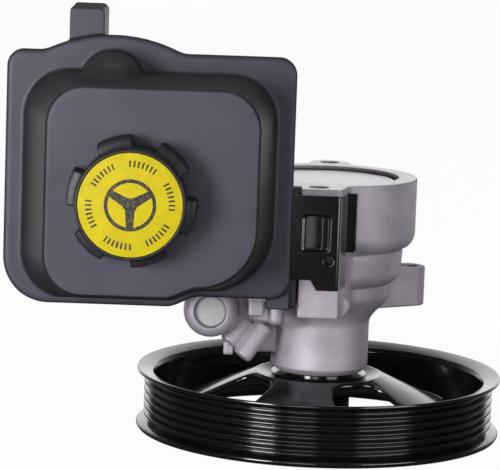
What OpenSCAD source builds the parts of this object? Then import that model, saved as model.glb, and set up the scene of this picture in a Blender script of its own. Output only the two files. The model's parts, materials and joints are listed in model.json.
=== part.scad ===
// Power steering pump: a vane pump in a cast housing with a moulded fluid reservoir, standing on its pulley.
// Z is the shaft axis, +Y points away from the filler cap, and the origin is the centre of the shaft nose.
// All lengths are millimetres.

/* [Pulley] */
// Radius over the rim flanges
pulley_r = 80.2; // [74:0.1:84]
// Number of belt grooves
groove_count = 6; // [5:1:7]
// Distance between neighbouring belt grooves
groove_pitch = 3.56; // [3.4:0.01:3.8]
// Depth of a belt groove below the ridges
groove_depth = 2.7; // [2.2:0.1:3]
// Height of the rim flanges above the ridges
flange_rise = 3.3; // [2:0.1:4]
// Width of rim outside the belt grooves, at each side
flange_w = 2.7; // [1.6:0.01:3]
// Thickness of the rim wall under the grooves
rim_wall = 2; // [1.6:0.1:3]
// Thickness of the conical web
web_t = 3; // [2:0.1:4]
// Slope of the web, in degrees below the horizontal
web_slope = 23.5; // [18:0.5:28]
// Outer radius of the hub seat in the web
web_seat_r = 23; // [22:0.5:26]
// Radius of the windows' inner edge
window_in_r = 29; // [28:0.5:34]
// Radius of the windows' outer edge
window_out_r = 58; // [50:0.5:62]
// Angle that one window spans, in degrees
window_arc = 42; // [30:1:55]
// Corner radius of a window
window_corner_r = 8; // [4:0.5:10]
// Direction of the first window, in degrees
window_turn = 30; // [0:1:90]

/* [Pulley hub and shaft] */
// Radius of the hub flange
hub_flange_r = 20.9; // [18:0.1:22]
// Thickness of the hub flange
hub_flange_t = 3.5; // [2:0.1:4]
// Radius of the collar above the hub flange
hub_collar_r = 16.1; // [13:0.1:17]
// Radius of the hub body
hub_r = 14; // [12.5:0.1:15]
// Width of the puller groove round the hub
puller_groove_w = 4; // [3:0.1:6]
// Depth of the puller groove
puller_groove_d = 2; // [1:0.1:2.5]
// Radius of the drive shaft
shaft_r = 8.75; // [8:0.05:9.5]
// Radius of the shaft where it carries the rotor
rotor_seat_r = 7.5; // [6.5:0.1:7.9]
// Radius of the threaded hole in the shaft nose
nose_hole_r = 4.25; // [3:0.05:5]
// Depth of the hole in the shaft nose
nose_hole_depth = 20; // [12:0.5:30]

/* [Housing] */
// Height of the housing
housing_h = 86.7; // [82:0.1:92]
// Radius of the upper barrel
barrel_r = 40; // [39.5:0.1:42]
// Length of the upper barrel
barrel_len = 23.4; // [20:0.1:26]
// Radius of the waist under the barrel
waist_r = 34.8; // [34.2:0.1:38]
// Radius of the shoulder under the waist
shoulder_r = 29.7; // [27:0.1:32]
// Radius of the neck that holds the shaft seal
neck_r = 21.4; // [20:0.1:24]
// Length of the straight neck
neck_len = 21.8; // [16:0.1:23]
// Chamfer at the end of the neck
neck_chamfer = 2.6; // [1:0.1:3]
// Gap between the pulley's upper rim and the end of the neck
neck_gap = 0.3; // [0:0.1:6]
// Radius of the cavity for the pumping parts
cavity_r = 31.8; // [31:0.1:32.5]
// Radius of the shaft bushing
bushing_r = 11.5; // [10.5:0.1:13]
// Radius of the seal pocket
seal_r = 15; // [13:0.1:17]
// Length of the seal pocket
seal_len = 9; // [7:0.5:12]

/* [Mounting bosses] */
// Distance of the mounting holes from the shaft axis
mount_r = 45.2; // [44.8:0.1:48]
// Radius of the mounting holes
mount_hole_r = 4.2; // [3.2:0.05:4.3]
// Direction of the front mounting hole, in degrees
mount_turn = -94.9; // [-97:0.1:-92]
// Direction of the rear mounting hole, in degrees
rear_turn = 86.6; // [84:0.1:89]
// Direction of the side ear, in degrees
ear_turn = 30; // [20:1:40]
// Radius of the side ear
ear_r = 7.3; // [6.5:0.1:8.5]
// Height of the side ear
ear_h = 17.5; // [12:0.1:20]
// Radius of the rear lug
lug_r = 9; // [7.5:0.1:10]
// Height of the rear lug
lug_h = 30; // [20:0.5:40]
// Width of the front column
column_w = 17.1; // [15:0.1:18]
// Height of the front column
column_h = 55.3; // [50:0.1:56]
// Distance of the column's front face from the shaft axis
column_y = 52.6; // [51:0.1:54]

/* [Flow valve] */
// Sideways distance of the valve bore from the shaft axis
valve_x = 48.3; // [45:0.1:50]
// Distance of the valve bore below the housing top
valve_drop = 57.1; // [54:0.1:58]
// Outer radius of the valve boss
valve_boss_r = 11.6; // [11:0.1:13]
// Radius of the valve bore
valve_bore_r = 6.8; // [5:0.1:7.5]
// Distance of the valve boss's front face from the shaft axis
valve_front_y = 35; // [32:0.1:36]
// Distance of the valve boss's back face from the shaft axis
valve_back_y = 30; // [26:0.5:34]
// Travel of the valve spool
valve_travel = 7; // [3:0.5:8]
// Radius of the threaded hole in the outlet union
outlet_hole_r = 5; // [4:0.1:5.5]

/* [Pumping parts] */
// Thickness of the cam ring, rotor and vanes
cam_t = 13; // [11:0.1:15]
// Smallest radius of the cam
cam_minor_r = 22; // [21.5:0.1:23]
// Rise of the cam above its smallest radius
cam_rise = 2.2; // [1:0.1:2.6]
// Thickness of a vane
vane_t = 1.8; // [1.4:0.1:2.2]
// Radial length of a vane
vane_len = 9; // [7.5:0.1:9.4]
// Inward travel of a vane from its outer rest
vane_travel = 1.2; // [0.6:0.1:1.2]
// Thickness of the thrust plate
thrust_plate_t = 4.5; // [3.5:0.1:6]
// Thickness of the pressure plate
pressure_plate_t = 5; // [4:0.1:6]
// Height of the disc spring under the end cover
spring_space = 4; // [3:0.1:5]
// Thickness of the end cover's sealing land
cover_t = 8.15; // [7:0.05:9]
// Depth of the cover's face below the housing top
cover_drop = 1.8; // [1:0.1:2.5]
// Thickness of the cover's retaining ring
cover_ring_t = 1.5; // [1.2:0.1:2]

/* [Reservoir] */
// Width of the welded flange
tank_w = 120.4; // [115:0.1:124]
// Distance of the flange's right edge from the shaft axis
tank_right_x = 15; // [13:0.1:17]
// Height of the flange's right side
tank_h = 101.4; // [96:0.1:106]
// Height of the flange's lower right edge above the column's foot
tank_lift = 9.4; // [9.2:0.1:12]
// Distance of the weld plane from the shaft axis
tank_y = 60; // [59:0.1:62]
// Thickness of each welded flange
tank_flange_t = 3.4; // [2.6:0.1:4]
// Wall thickness of the shells
tank_wall = 3; // [2.2:0.1:3.4]
// Depth of the front shell
tank_front_d = 45; // [40:0.5:50]
// Depth of the rear shell behind the weld plane
tank_rear_d = 37; // [33:0.5:38]
// Step between the flange's lower left and lower right edges
tank_step = 4.6; // [2:0.1:6]
// Width of the flange outside the box
tank_rim = 8; // [6.5:0.1:8.5]
// Draft of the box's left wall over its whole depth
tank_draft = 11.6; // [5:0.1:14]
// Radius of the dome on top of the flange
dome_r = 62.8; // [60:0.1:70]
// Height of the dome above the flange
dome_rise = 6.9; // [4:0.1:8]
// Width of the post on top
post_w = 14.5; // [10:0.1:16]
// Depth of the post on top
post_d = 35; // [28:0.5:36]
// Height of the post above the flange
post_rise = 17.6; // [12:0.1:24]

/* [Filler cap] */
// Sideways distance of the cap's axis from the flange's right edge
cap_side = 65.3; // [60:0.1:70]
// Height of the cap's axis above the flange's lower right edge
cap_up = 46; // [42:0.1:52]
// Radius over the grip lobes
cap_grip_r = 26.5; // [25:0.1:29]
// Radius of the cap's face
cap_face_r = 22.3; // [20:0.1:23]
// Height of the cap
cap_h = 18; // [14:0.5:20]
// Height of the grip lobes
cap_grip_h = 12; // [8:0.5:12]
// Number of grip lobes
cap_lobes = 6; // [4:1:8]
// Direction of the first grip lobe, in degrees
cap_turn = 47.5; // [0:0.5:60]
// Angle that one grip lobe spans, in degrees
cap_lobe_arc = 34; // [20:1:40]
// Radius of the label
cap_label_r = 20.9; // [15:0.1:21]
// Outer radius of the filler neck
neck_outer_r = 18.2; // [17:0.1:18.6]
// Inner radius of the filler neck
neck_inner_r = 15.4; // [13:0.1:15.8]
// Height of the filler neck above the front panel
filler_neck_h = 9; // [6:0.5:11]
// Length of the dipstick
dipstick_len = 62; // [40:1:64]

/* [Clips and nipples] */
// Thickness of the clip steel
clip_t = 1.2; // [0.8:0.1:1.6]
// Height of a clip
clip_h = 40.5; // [30:0.5:42]
// Distance of a clip's upper edge below the housing top
clip_drop = 2.6; // [2:0.1:6]
// Radius of the suction nipple between reservoir and housing
suction_r = 6.5; // [5:0.1:7]
// Radius of the return nipple's tube
return_r = 5; // [4:0.1:6]
// Length of the return nipple
return_len = 30; // [20:1:36]

/* [Hidden] */
$fn = 96;

// Clearances
run_gap = 0.03;
slide_gap = 0.02;
free_gap = 0.3;
seat_gap = 0.05;
over = 1;
fine = 32;

// Pulley levels and radii
ridge_r = pulley_r - flange_rise;
groove_r = ridge_r - groove_depth;
rim_bore_r = groove_r - rim_wall;
groove_flat = 0.7;
groove_angle = 20;
pulley_h = groove_count * groove_pitch + 2 * flange_w;
flange_tip = 1;
lip_r = 1.2;
web_foot_z = 6.7;
web_crown_r = web_seat_r + 4;

// Levels of the housing, from the neck upwards
ear_lift = 26.7;
z_neck = pulley_h + neck_gap;
z_top = z_neck + housing_h;
z_cover_face = z_top - cover_drop;
z_ring = z_cover_face - cover_ring_t;
z_cover_land = z_ring - seat_gap;
z_cover = z_cover_land - cover_t;
z_spring = z_cover - spring_space;
z_pressure = z_spring - pressure_plate_t;
z_cam = z_pressure - cam_t;
z_cavity = z_cam - thrust_plate_t;
z_shaft_end = z_pressure + 3.5;
z_seal = z_neck + seal_len;
z_bushing = z_seal + 3;
z_bushing_top = z_cavity - 7;
z_ear = z_neck + ear_lift;
z_column = z_top - column_h;
hub_top = z_neck - 0.6;
hub_collar_t = 0.6;
z_hub_flange = hub_top - hub_collar_t - hub_flange_t;

// Housing outline, from the neck upwards
flare_h = 14;
shoulder_h = 5;
belly_h = 6.5;
waist_gap = 6;
belly_r = waist_r - 0.4;
barrel_edge = 0.8;
barrel_bulge = 7;
z_flare = z_neck + neck_len;
z_shoulder = z_flare + flare_h;
z_belly = z_shoulder + shoulder_h;
z_waist = z_belly + belly_h;
z_barrel = z_top - barrel_len;
z_waist_top = min(z_waist + waist_gap, z_barrel - barrel_bulge - 0.5);

// Cover ring and seals
ring_groove_d = 1.5;
cover_ring_r = cavity_r + ring_groove_d - seat_gap;
cover_ring_in_r = cavity_r - 1.8;
ring_mouth = 24;
ring_turn = 12;
cover_r = cavity_r - seat_gap;
cover_dome_r = cover_ring_in_r - 0.4;
o_ring_seat = 2.4;
o_ring_r = (cavity_r - cover_r + o_ring_seat) / 2 - slide_gap;

// Pumping parts
vane_count = 10;
rotor_r = cam_minor_r - 0.5;
vane_tip_r = cam_minor_r - 0.15;
vane_root_r = vane_tip_r - vane_len;
slot_root_r = vane_root_r - vane_travel - 0.25;
dowel_r = 2;
dowel_at = (cam_minor_r + cavity_r) / 2 + 1;
rotor_ring_t = 1.2;
plate_bore_r = rotor_seat_r + 2;

// Mounting bosses
function polar(r, a) = [r * cos(a), r * sin(a)];
front_hole = polar(mount_r, mount_turn);
rear_hole = polar(mount_r, rear_turn);
ear_hole = polar(mount_r, ear_turn);
column_x0 = front_hole[0] - 7.5;
column_x1 = column_x0 + column_w;
column_draft = 3;
column_root = 3;
pad_y = column_y - 9.1;
pad_left_x = -32;
rail_w = 6.5;
z_pad = z_column + 5;
z_rail = z_column - 1.6;

// Flow valve
z_valve = z_top - valve_drop;
plug_len = 9;
plug_ring_t = 1.4;
plug_ring_w = 0.5;
plug_depth = 0.8;
plug_y = -valve_front_y + plug_ring_t + plug_depth;
union_insert = 9;
union_hex_r = 12.4;
union_hex_t = 8;
spool_play = 0.5;
spring_block = 13.3;
spool_back_y = valve_back_y - union_insert - spool_play;
spring_front_y = plug_y + plug_len;
spool_front_y = spring_front_y + spring_block + valve_travel;
spring_wire_r = 0.8;
spring_turns = 5;
spring_cup = 4;
cup_wall = 2.4;
cup_play = 0.2;
drill_bosses = [[12, -9.6, 4.1, -22, 7], [20.4, -12, 4.2, -24, 11]];
drill_head = 3.5;
drill_lean = 35;
web_back = 17;
drill_tab = [6, -21.1, 4.4, 5.6];
drill_plate = [10, -21.2, 18.3, 14];
plate_y = -20;

// Reservoir frame: outlines are drawn in X and Z and run along Y
tank_x1 = -tank_right_x;
tank_x0 = tank_x1 - tank_w;
tank_z0 = z_column + tank_lift;
tank_z1 = tank_z0 + tank_h;
tank_low_z = tank_z0 - tank_step;
step_x = tank_x0 + 0.63 * tank_w;
corner_tl = 6.5;
corner_tr = 7.5;
corner_br = 8.5;
corner_bl = 19;
dome_x = tank_x0 + 44.1;
dome_z = tank_z1 + dome_rise - dome_r;
tank_back_y = -tank_y + tank_rear_d;
tank_front_y = -tank_y - tank_front_d;
box_edge_r = 1.2;
box_foot_r = 3;
box_foot_h = tank_flange_t + box_foot_r;
box_sill = 3.2;
draft_right = 0.55;
draft_top = 0.2;
draft_low = 0.61;
base_round = 3;
panel_tl = 15;
panel_tr = 16;
panel_br = 24;
panel_bl = 16;
rear_edge_r = 5;
rear_corner = 10;
step_w = 14;
blister_r = 13.3;
blister_len = 12;
blister_z = tank_z1 - 12.7;
post_x = tank_x0 + 25.2;
post_corner = 3;

// Foot of the reservoir on the housing pad
foot_x1 = column_x0 - 0.7;
foot_x0 = pad_left_x + 1.2;
z_foot = z_column + 4.4;
notch_x = pad_left_x + 7.3;
z_notch = tank_z0 + 1;
z_foot_top = z_top - 2;
deep_x1 = tank_x1 - 33;
shallow_y = -pad_y - 6.5;

// Filler cap
cap_x = tank_x1 - cap_side;
cap_z = tank_z0 + cap_up;
cap_base_y = tank_front_y - free_gap;
cap_front_y = cap_base_y - cap_h;
stick_head_t = 3;
cap_face_t = 4.2;
seal_t = 2;
neck_face_y = tank_front_y - filler_neck_h;
stick_head_y = cap_front_y + cap_face_t + free_gap;
stick_w = 6;
stick_t = 2;
label_t = 0.4;

// Clips
clip_z1 = z_top - clip_drop;
clip_z0 = clip_z1 - clip_h;
clip_side_d = 12;
clip_foot = [8.9, 11.5, 4.4];
clip_window = [6.9, 18.1, 5.9, 13.5];
clip_hole = [16.3, 13.1, 2.1];
clip_ear = [4, 15.2, 1.5];
clip_lap = 3.5;
clip_hook = 2.5;
clip_lip = 5;
ledge_t = 2;
hook_d = 5;
side_slope = column_draft / (column_y - pad_y + column_root);

// Suction and return nipples
suction_x = (foot_x0 + foot_x1) / 2;
suction_z = z_top - 25;
suction_len = 5.5;
suction_bore_len = 7;
return_x = tank_x0 + 30;
return_z = tank_z0 + 22;

// Points of an S-shaped rise from one radius to another
function s_curve(r0, z0, r1, z1, n = 10) =
    [for (i = [0 : n]) [r0 + (r1 - r0) * (1 - cos(180 * i / n)) / 2, z0 + (z1 - z0) * i / n]];

// Points of a quarter of an ellipse that swells outwards
function bulge(r0, z0, r1, z1, n = 8) =
    [for (i = [0 : n]) [r0 + (r1 - r0) * sin(90 * i / n), z1 - (z1 - z0) * cos(90 * i / n)]];

// A 2D outline drawn in X and Z, extruded along Y between two depths
module slab(y_front, y_back) {
    translate([0, y_back, 0])
        rotate([90, 0, 0])
            linear_extrude(y_back - y_front)
                children();
}

// A cylinder along Y
module rod(r, x, z, y_front, y_back) {
    translate([x, y_back, z])
        rotate([90, 0, 0])
            cylinder(r = r, h = y_back - y_front);
}

// A cylinder along Z between two heights
module post(r, z0, z1) {
    translate([0, 0, z0])
        cylinder(r = r, h = z1 - z0);
}

// A ring along Z between two heights
module ring(r_out, r_in, z0, z1) {
    difference() {
        post(r_out, z0, z1);
        post(r_in, z0 - over, z1 + over);
    }
}

// A round cord bent into a ring about Z
module torus(r_mid, r_cord, z) {
    translate([0, 0, z])
        rotate_extrude()
            translate([r_mid, 0])
                circle(r = r_cord, $fn = fine);
}

// Turns a shape made along Z so that it lies along Y, with its base at the front
module lay_along_y(x, y, z) {
    translate([x, y, z])
        rotate([-90, 0, 0])
            children();
}

// Outer outline of the housing casting, turned about the shaft
module housing_barrel() {
    rotate_extrude()
        polygon(concat(
            [[0, z_neck], [neck_r - neck_chamfer, z_neck], [neck_r, z_neck + neck_chamfer]],
            s_curve(neck_r, z_flare, shoulder_r, z_shoulder),
            bulge(shoulder_r, z_belly, belly_r, z_waist),
            [[waist_r, z_waist_top]],
            bulge(waist_r, z_barrel - barrel_bulge, barrel_r, z_barrel),
            [[barrel_r, z_top - barrel_edge], [barrel_r - barrel_edge, z_top], [0, z_top]]));
}

// Front column that takes a mounting bolt and the right clip
module front_column() {
    translate([0, 0, z_column])
        linear_extrude(column_h)
            polygon([
                [column_x0, -column_y], [column_x1, -column_y],
                [column_x1 + column_draft, -pad_y + column_root],
                [column_x1 + column_draft, -waist_r / 2], [column_x0, -waist_r / 2]]);
    rod(4.2, column_x1 + 1, z_column + 4.3, -pad_y - 1, -shoulder_r / 2);
}

// Flat pad and guide rails that carry the reservoir's foot
module reservoir_pad() {
    translate([pad_left_x, -pad_y, z_pad])
        cube([column_x0 - pad_left_x + over, pad_y - waist_r / 2, z_top - z_pad]);
    translate([pad_left_x, -pad_y, z_rail])
        cube([rail_w, pad_y - shoulder_r / 2, z_top - z_rail]);
    translate([pad_left_x + 12, -pad_y + 7, z_pad - 11])
        cylinder(r = 3.6, h = 30);
}

// Boss round the flow valve bore, with its web and oblique drilling bosses
module valve_boss() {
    rod(valve_boss_r, -valve_x, z_valve, -valve_front_y, valve_back_y);
    slab(-valve_front_y + web_back, valve_back_y - 6)
        hull() {
            translate([-valve_x, z_valve])
                circle(r = valve_boss_r - 1.5, $fn = fine);
            translate([-shoulder_r / 2, z_valve + 2])
                circle(r = valve_boss_r - 3, $fn = fine);
        }
    for (drill = drill_bosses)
        translate([drill[0] - valve_x, drill[3], z_valve + drill[1]])
            rotate([0, drill_lean, 0])
                translate([0, 0, -drill[4]])
                    cylinder(r = drill[2], h = drill[4] + drill_head);
    for (piece = [drill_tab, drill_plate])
        translate([piece[0] - valve_x, plate_y, z_valve + piece[1]])
            cube([piece[2], -plate_y, piece[3]]);
}

// Lug behind the barrel with the second mounting hole
module rear_lug() {
    translate([0, 0, z_top - lug_h]) {
        translate([rear_hole[0], rear_hole[1], 0])
            cylinder(r = lug_r, h = lug_h);
        translate([rear_hole[0] - lug_r, waist_r / 2, 0])
            cube([2 * lug_r, rear_hole[1] - waist_r / 2, lug_h]);
    }
}

// Side ear with the third mounting hole
module side_ear() {
    translate([0, 0, z_ear])
        rotate([0, 0, ear_turn]) {
            translate([mount_r, 0, 0])
                cylinder(r = ear_r, h = ear_h);
            translate([neck_r / 2, -ear_r, 0])
                cube([mount_r - neck_r / 2, 2 * ear_r, ear_h]);
        }
}

// Cast housing with its bosses, bores and cavity
module pump_housing() {
    color("#b9b4b6")
        difference() {
            union() {
                housing_barrel();
                front_column();
                reservoir_pad();
                valve_boss();
                rear_lug();
                side_ear();
            }
            post(cavity_r, z_cavity, z_top + over);
            ring(cavity_r + ring_groove_d, cavity_r - over, z_ring - seat_gap, z_cover_face + seat_gap);
            post(bushing_r, z_bushing, z_cavity + over);
            post(shaft_r + over, z_neck - over, z_cavity + over);
            post(seal_r, z_neck - over, z_seal);
            for (hole = [front_hole, rear_hole, ear_hole])
                translate([hole[0], hole[1], z_neck])
                    cylinder(r = mount_hole_r, h = housing_h + over);
            rod(valve_bore_r, -valve_x, z_valve, -valve_front_y - over, valve_back_y + over);
            rod(suction_r + slide_gap, suction_x, suction_z, -pad_y - over, -pad_y + suction_bore_len);
            translate([pad_left_x - over, -pad_y + hook_d - free_gap, clip_z0 - over])
                cube([clip_hook + over + free_gap, clip_t + 2 * free_gap, z_top - clip_z0 + 2 * over]);
        }
}

// End cover that closes the cavity, with a groove for its O-ring
module end_cover() {
    color("#cfcbcb")
        difference() {
            union() {
                post(cover_r, z_cover, z_cover_land);
                post(cover_dome_r, z_cover, z_cover_face);
            }
            ring(cover_r + over, cover_r - o_ring_seat, z_cover + 2.6, z_cover + 5.4);
            post(plate_bore_r + 4, z_cover - over, z_cover + 2);
        }
}

// Split ring that holds the end cover in its groove
module end_cover_ring() {
    color("#3b3a3d")
        difference() {
            ring(cover_ring_r, cover_ring_in_r, z_ring, z_cover_face);
            translate([0, 0, z_ring - over])
                linear_extrude(cover_ring_t + 2 * over)
                    polygon([
                        [0, 0], polar(2 * cavity_r, ring_turn - ring_mouth / 2),
                        polar(2 * cavity_r, ring_turn + ring_mouth / 2)]);
        }
}

// Seal in the groove of the end cover
module end_cover_o_ring() {
    color("#1d1d1f")
        torus(cavity_r - o_ring_r - slide_gap, o_ring_r, z_cover + 4);
}

// Plate with two crescent outlet ports that the disc spring presses on the cam ring
module pressure_plate() {
    color("#a9a7a8")
        difference() {
            post(cavity_r - seat_gap, z_pressure, z_spring);
            post(plate_bore_r, z_pressure - over, z_spring + over);
            dowel_holes(z_pressure, z_spring);
            crescent_ports(z_pressure, z_spring, 0);
        }
}

// Two holes for the dowel pins
module dowel_holes(z0, z1) {
    for (side = [-1, 1])
        translate([0, side * dowel_at, 0])
            post(dowel_r, z0 - over, z1 + over);
}

// Two opposite curved ports through a plate
module crescent_ports(z0, z1, turn) {
    port_r = cam_minor_r - 2.6;
    for (side = [0, 180])
        for (step = [-12, 0, 12])
            rotate([0, 0, turn + side + step])
                translate([port_r, 0, 0])
                    post(2.4, z0 - over, z1 + over);
}

// Conical disc spring between the pressure plate and the end cover
module pressure_plate_spring() {
    color("#55565a")
        rotate_extrude()
            polygon([
                [plate_bore_r + 8, z_spring], [plate_bore_r + 9.2, z_spring],
                [cavity_r - 4, z_cover - 1], [cavity_r - 4, z_cover], [cavity_r - 5.2, z_cover]]);
}

// Cam ring with a two-lobed inner wall that the vanes follow
module cam_ring() {
    color("#8f8e92")
        difference() {
            post(cavity_r - seat_gap, z_cam, z_pressure);
            translate([0, 0, z_cam - over])
                linear_extrude(cam_t + 2 * over)
                    polygon([for (a = [0 : 5 : 355])
                        polar(cam_minor_r + cam_rise * (1 + cos(2 * a)) / 2, a)]);
            dowel_holes(z_cam, z_pressure);
        }
}

// Thrust plate on the cavity floor, with two inlet ports
module thrust_plate() {
    color("#a9a7a8")
        difference() {
            post(cavity_r - seat_gap, z_cavity, z_cam);
            post(shaft_r + free_gap, z_cavity - over, z_cam + over);
            dowel_holes(z_cavity, z_cam);
            crescent_ports(z_cavity, z_cam, 90);
        }
}

// Two pins that line up the plates and the cam ring
module dowel_pins() {
    color("#9c9ca0")
        for (side = [-1, 1])
            translate([0, side * dowel_at, 0])
                post(dowel_r, z_cavity, z_spring);
}

// Plain bearing in the neck
module shaft_bushing() {
    color("#a8864e")
        ring(bushing_r, shaft_r + run_gap, z_bushing, z_bushing_top);
}

// Lip seal at the end of the neck
module shaft_seal() {
    color("#232326")
        rotate_extrude()
            polygon([
                [seal_r, z_neck + 0.5], [seal_r, z_seal], [shaft_r + 1.2, z_seal],
                [shaft_r + run_gap, z_seal - 3], [shaft_r + run_gap, z_seal - 4], [seal_r - 3, z_seal - 2],
                [seal_r - 1.4, z_seal - 2], [seal_r - 1.4, z_neck + 2], [shaft_r + 0.6, z_neck + 2],
                [shaft_r + 0.6, z_neck + 0.5]]);
}

// Plug in the front of the valve bore
module valve_plug() {
    color("#c3bfc2")
        difference() {
            rod(valve_bore_r - slide_gap, -valve_x, z_valve, plug_y, plug_y + plug_len);
            rod(valve_bore_r - cup_wall, -valve_x, z_valve,
                plug_y + plug_len - spring_cup, plug_y + plug_len + over);
        }
}

// Ring that holds the valve plug
module valve_plug_ring() {
    color("#7e7c80")
        difference() {
            rod(valve_bore_r - slide_gap, -valve_x, z_valve, plug_y - plug_ring_t, plug_y);
            rod(valve_bore_r - plug_ring_w, -valve_x, z_valve, plug_y - plug_ring_t - over, plug_y + over);
        }
}

// Sliding spool of the flow valve, with two lands and a spring cup
module flow_valve_spool() {
    color("#b0b0b4")
        difference() {
            rod(valve_bore_r - slide_gap, -valve_x, z_valve, spool_front_y, spool_back_y);
            rod(valve_bore_r - cup_wall, -valve_x, z_valve, spool_front_y - over, spool_front_y + spring_cup);
            difference() {
                rod(valve_bore_r + over, -valve_x, z_valve, spool_front_y + 9, spool_back_y - 7);
                rod(valve_bore_r - 2, -valve_x, z_valve, spool_front_y + 8, spool_back_y - 6);
            }
        }
}

// Points of one ring of the spring wire, square to the coil
function wire_ring(a, z, r_coil, r_wire, sides) =
    [for (k = [0 : sides - 1])
        let (b = 360 * k / sides, r = r_coil + r_wire * cos(b))
            [r * cos(a), r * sin(a), z + r_wire * sin(b)]];

// Coil spring along Z, closed at both ends
module coil(r_coil, r_wire, z0, z1, turns) {
    sides = 8;
    steps = 12 * turns;
    points = [for (i = [0 : steps])
        each wire_ring(360 * turns * i / steps, z0 + r_wire + (z1 - z0 - 2 * r_wire) * i / steps,
            r_coil, r_wire, sides)];
    walls = [for (i = [0 : steps - 1], k = [0 : sides - 1])
        let (m = (k + 1) % sides)
            [i * sides + k, (i + 1) * sides + k, (i + 1) * sides + m, i * sides + m]];
    first_end = [for (k = [0 : sides - 1]) k];
    last_end = [for (k = [sides - 1 : -1 : 0]) steps * sides + k];
    polyhedron(points = points, faces = concat(walls, [first_end], [last_end]));
}

// Spring that pushes the spool back from the plug
module flow_valve_spring() {
    color("#6d6e72")
        lay_along_y(-valve_x, 0, z_valve)
            coil(valve_bore_r - cup_wall - cup_play - spring_wire_r, spring_wire_r,
                spring_front_y - spring_cup, spool_front_y + spring_cup, spring_turns);
}

// Hexagonal outlet union at the back of the valve bore
module outlet_union() {
    color("#a8a6a4")
        difference() {
            union() {
                lay_along_y(-valve_x, valve_back_y, z_valve)
                    cylinder(r = union_hex_r, h = union_hex_t, $fn = 6);
                rod(valve_bore_r - slide_gap, -valve_x, z_valve,
                    valve_back_y - union_insert, valve_back_y + over);
            }
            rod(outlet_hole_r, -valve_x, z_valve, valve_back_y - 6, valve_back_y + union_hex_t + over);
            rod(outlet_hole_r / 2, -valve_x, z_valve, valve_back_y - union_insert - over, valve_back_y);
            difference() {
                rod(valve_bore_r + over, -valve_x, z_valve, valve_back_y - 4.5, valve_back_y - 2.3);
                rod(valve_bore_r - 1, -valve_x, z_valve, valve_back_y - 5, valve_back_y - 2);
            }
        }
}

// Seal in the groove of the outlet union
module outlet_union_o_ring() {
    color("#1d1d1f")
        lay_along_y(-valve_x, valve_back_y - 3.4, z_valve)
            torus(valve_bore_r - 0.5, 0.48, 0);
}

// Shaft from the nose up to the rotor
module drive_shaft() {
    color("#9a9a9e")
        difference() {
            union() {
                post(shaft_r, 0, z_cam - free_gap);
                post(rotor_seat_r, 0, z_shaft_end);
            }
            ring(rotor_seat_r + over, rotor_seat_r - 1, z_pressure + 0.1, z_pressure + 0.1 + rotor_ring_t);
            post(nose_hole_r, -over, nose_hole_depth);
        }
}

// Slotted rotor that carries the vanes
module rotor() {
    color("#8a8a8e")
        translate([0, 0, z_cam + run_gap])
            linear_extrude(cam_t - 2 * run_gap)
                difference() {
                    circle(r = rotor_r);
                    circle(r = rotor_seat_r);
                    for (i = [0 : vane_count - 1])
                        rotate(360 * i / vane_count)
                            translate([slot_root_r, -vane_t / 2 - slide_gap])
                                square([rotor_r, vane_t + 2 * slide_gap]);
                }
}

// Split ring that keeps the rotor on the shaft
module rotor_ring() {
    color("#3b3a3d")
        difference() {
            ring(rotor_seat_r + 1, rotor_seat_r - 1, z_pressure + 0.1, z_pressure + 0.1 + rotor_ring_t);
            translate([0, -1, z_pressure])
                cube([2 * rotor_seat_r, 2, 2 * rotor_ring_t]);
        }
}

// One vane in its rotor slot
module vane(i) {
    color("#77777c")
        rotate([0, 0, 360 * (i - 1) / vane_count])
            translate([vane_root_r, -vane_t / 2, z_cam + run_gap])
                cube([vane_len, vane_t, cam_t - 2 * run_gap]);
}

// Points of the belt grooves, from the lowest to the highest
function belt_grooves() =
    let (half = groove_flat / 2, spread = groove_depth * tan(groove_angle))
        [for (i = [0 : groove_count - 1])
            let (z = flange_w + groove_pitch * (i + 0.5))
                each [
                    [ridge_r, z - half - spread], [groove_r, z - half],
                    [groove_r, z + half], [ridge_r, z + half + spread]]];

// Rim of the pulley with its flanges and belt grooves
module pulley_rim() {
    rotate_extrude()
        polygon(concat(
            [[rim_bore_r, 0], [pulley_r - flange_tip / 2, 0],
                [pulley_r, flange_tip / 2], [pulley_r, flange_tip]],
            belt_grooves(),
            [[pulley_r, pulley_h - flange_tip], [pulley_r, pulley_h - flange_tip / 2],
                [pulley_r - flange_tip / 2, pulley_h], [rim_bore_r + 3 * lip_r, pulley_h - 0.4],
                [rim_bore_r + lip_r, pulley_h - lip_r], [rim_bore_r, pulley_h - 3 * lip_r]]));
}

// Height of the web's upper face at a radius
function web_z(r) = web_foot_z + (rim_bore_r - r) * tan(web_slope);

// Conical web from the rim up to the hub seat
module pulley_web() {
    drop = web_t / cos(web_slope);
    rotate_extrude()
        polygon([
            [hub_r, z_hub_flange - web_t], [web_seat_r + 1, z_hub_flange - web_t],
            [web_crown_r, web_z(web_crown_r) - drop], [rim_bore_r + 0.5, web_z(rim_bore_r) - drop],
            [rim_bore_r + 0.5, web_z(rim_bore_r)], [web_crown_r, web_z(web_crown_r)],
            [web_seat_r + 1.5, web_z(web_crown_r)], [web_seat_r, web_z(web_crown_r) - 0.6],
            [web_seat_r - 1, z_hub_flange],
            [hub_r, z_hub_flange]]);
}

// One wedge-shaped window of the web, with rounded corners
module window_outline() {
    half = window_arc / 2;
    offset(r = window_corner_r, $fn = fine)
        offset(delta = -window_corner_r)
            polygon(concat(
                [for (i = [0 : 4]) polar(window_in_r, -half + window_arc * i / 4)],
                [for (i = [4 : -1 : 0]) polar(window_out_r, -half + window_arc * i / 4)]));
}

// Belt pulley with a conical web and four windows
module pulley() {
    color("#17171a")
        difference() {
            union() {
                pulley_rim();
                pulley_web();
            }
            for (i = [0 : 3])
                rotate([0, 0, window_turn + 90 * i])
                    translate([0, 0, -over])
                        linear_extrude(z_top)
                            window_outline();
            post(hub_flange_r + free_gap, z_hub_flange, z_neck);
        }
}

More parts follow.
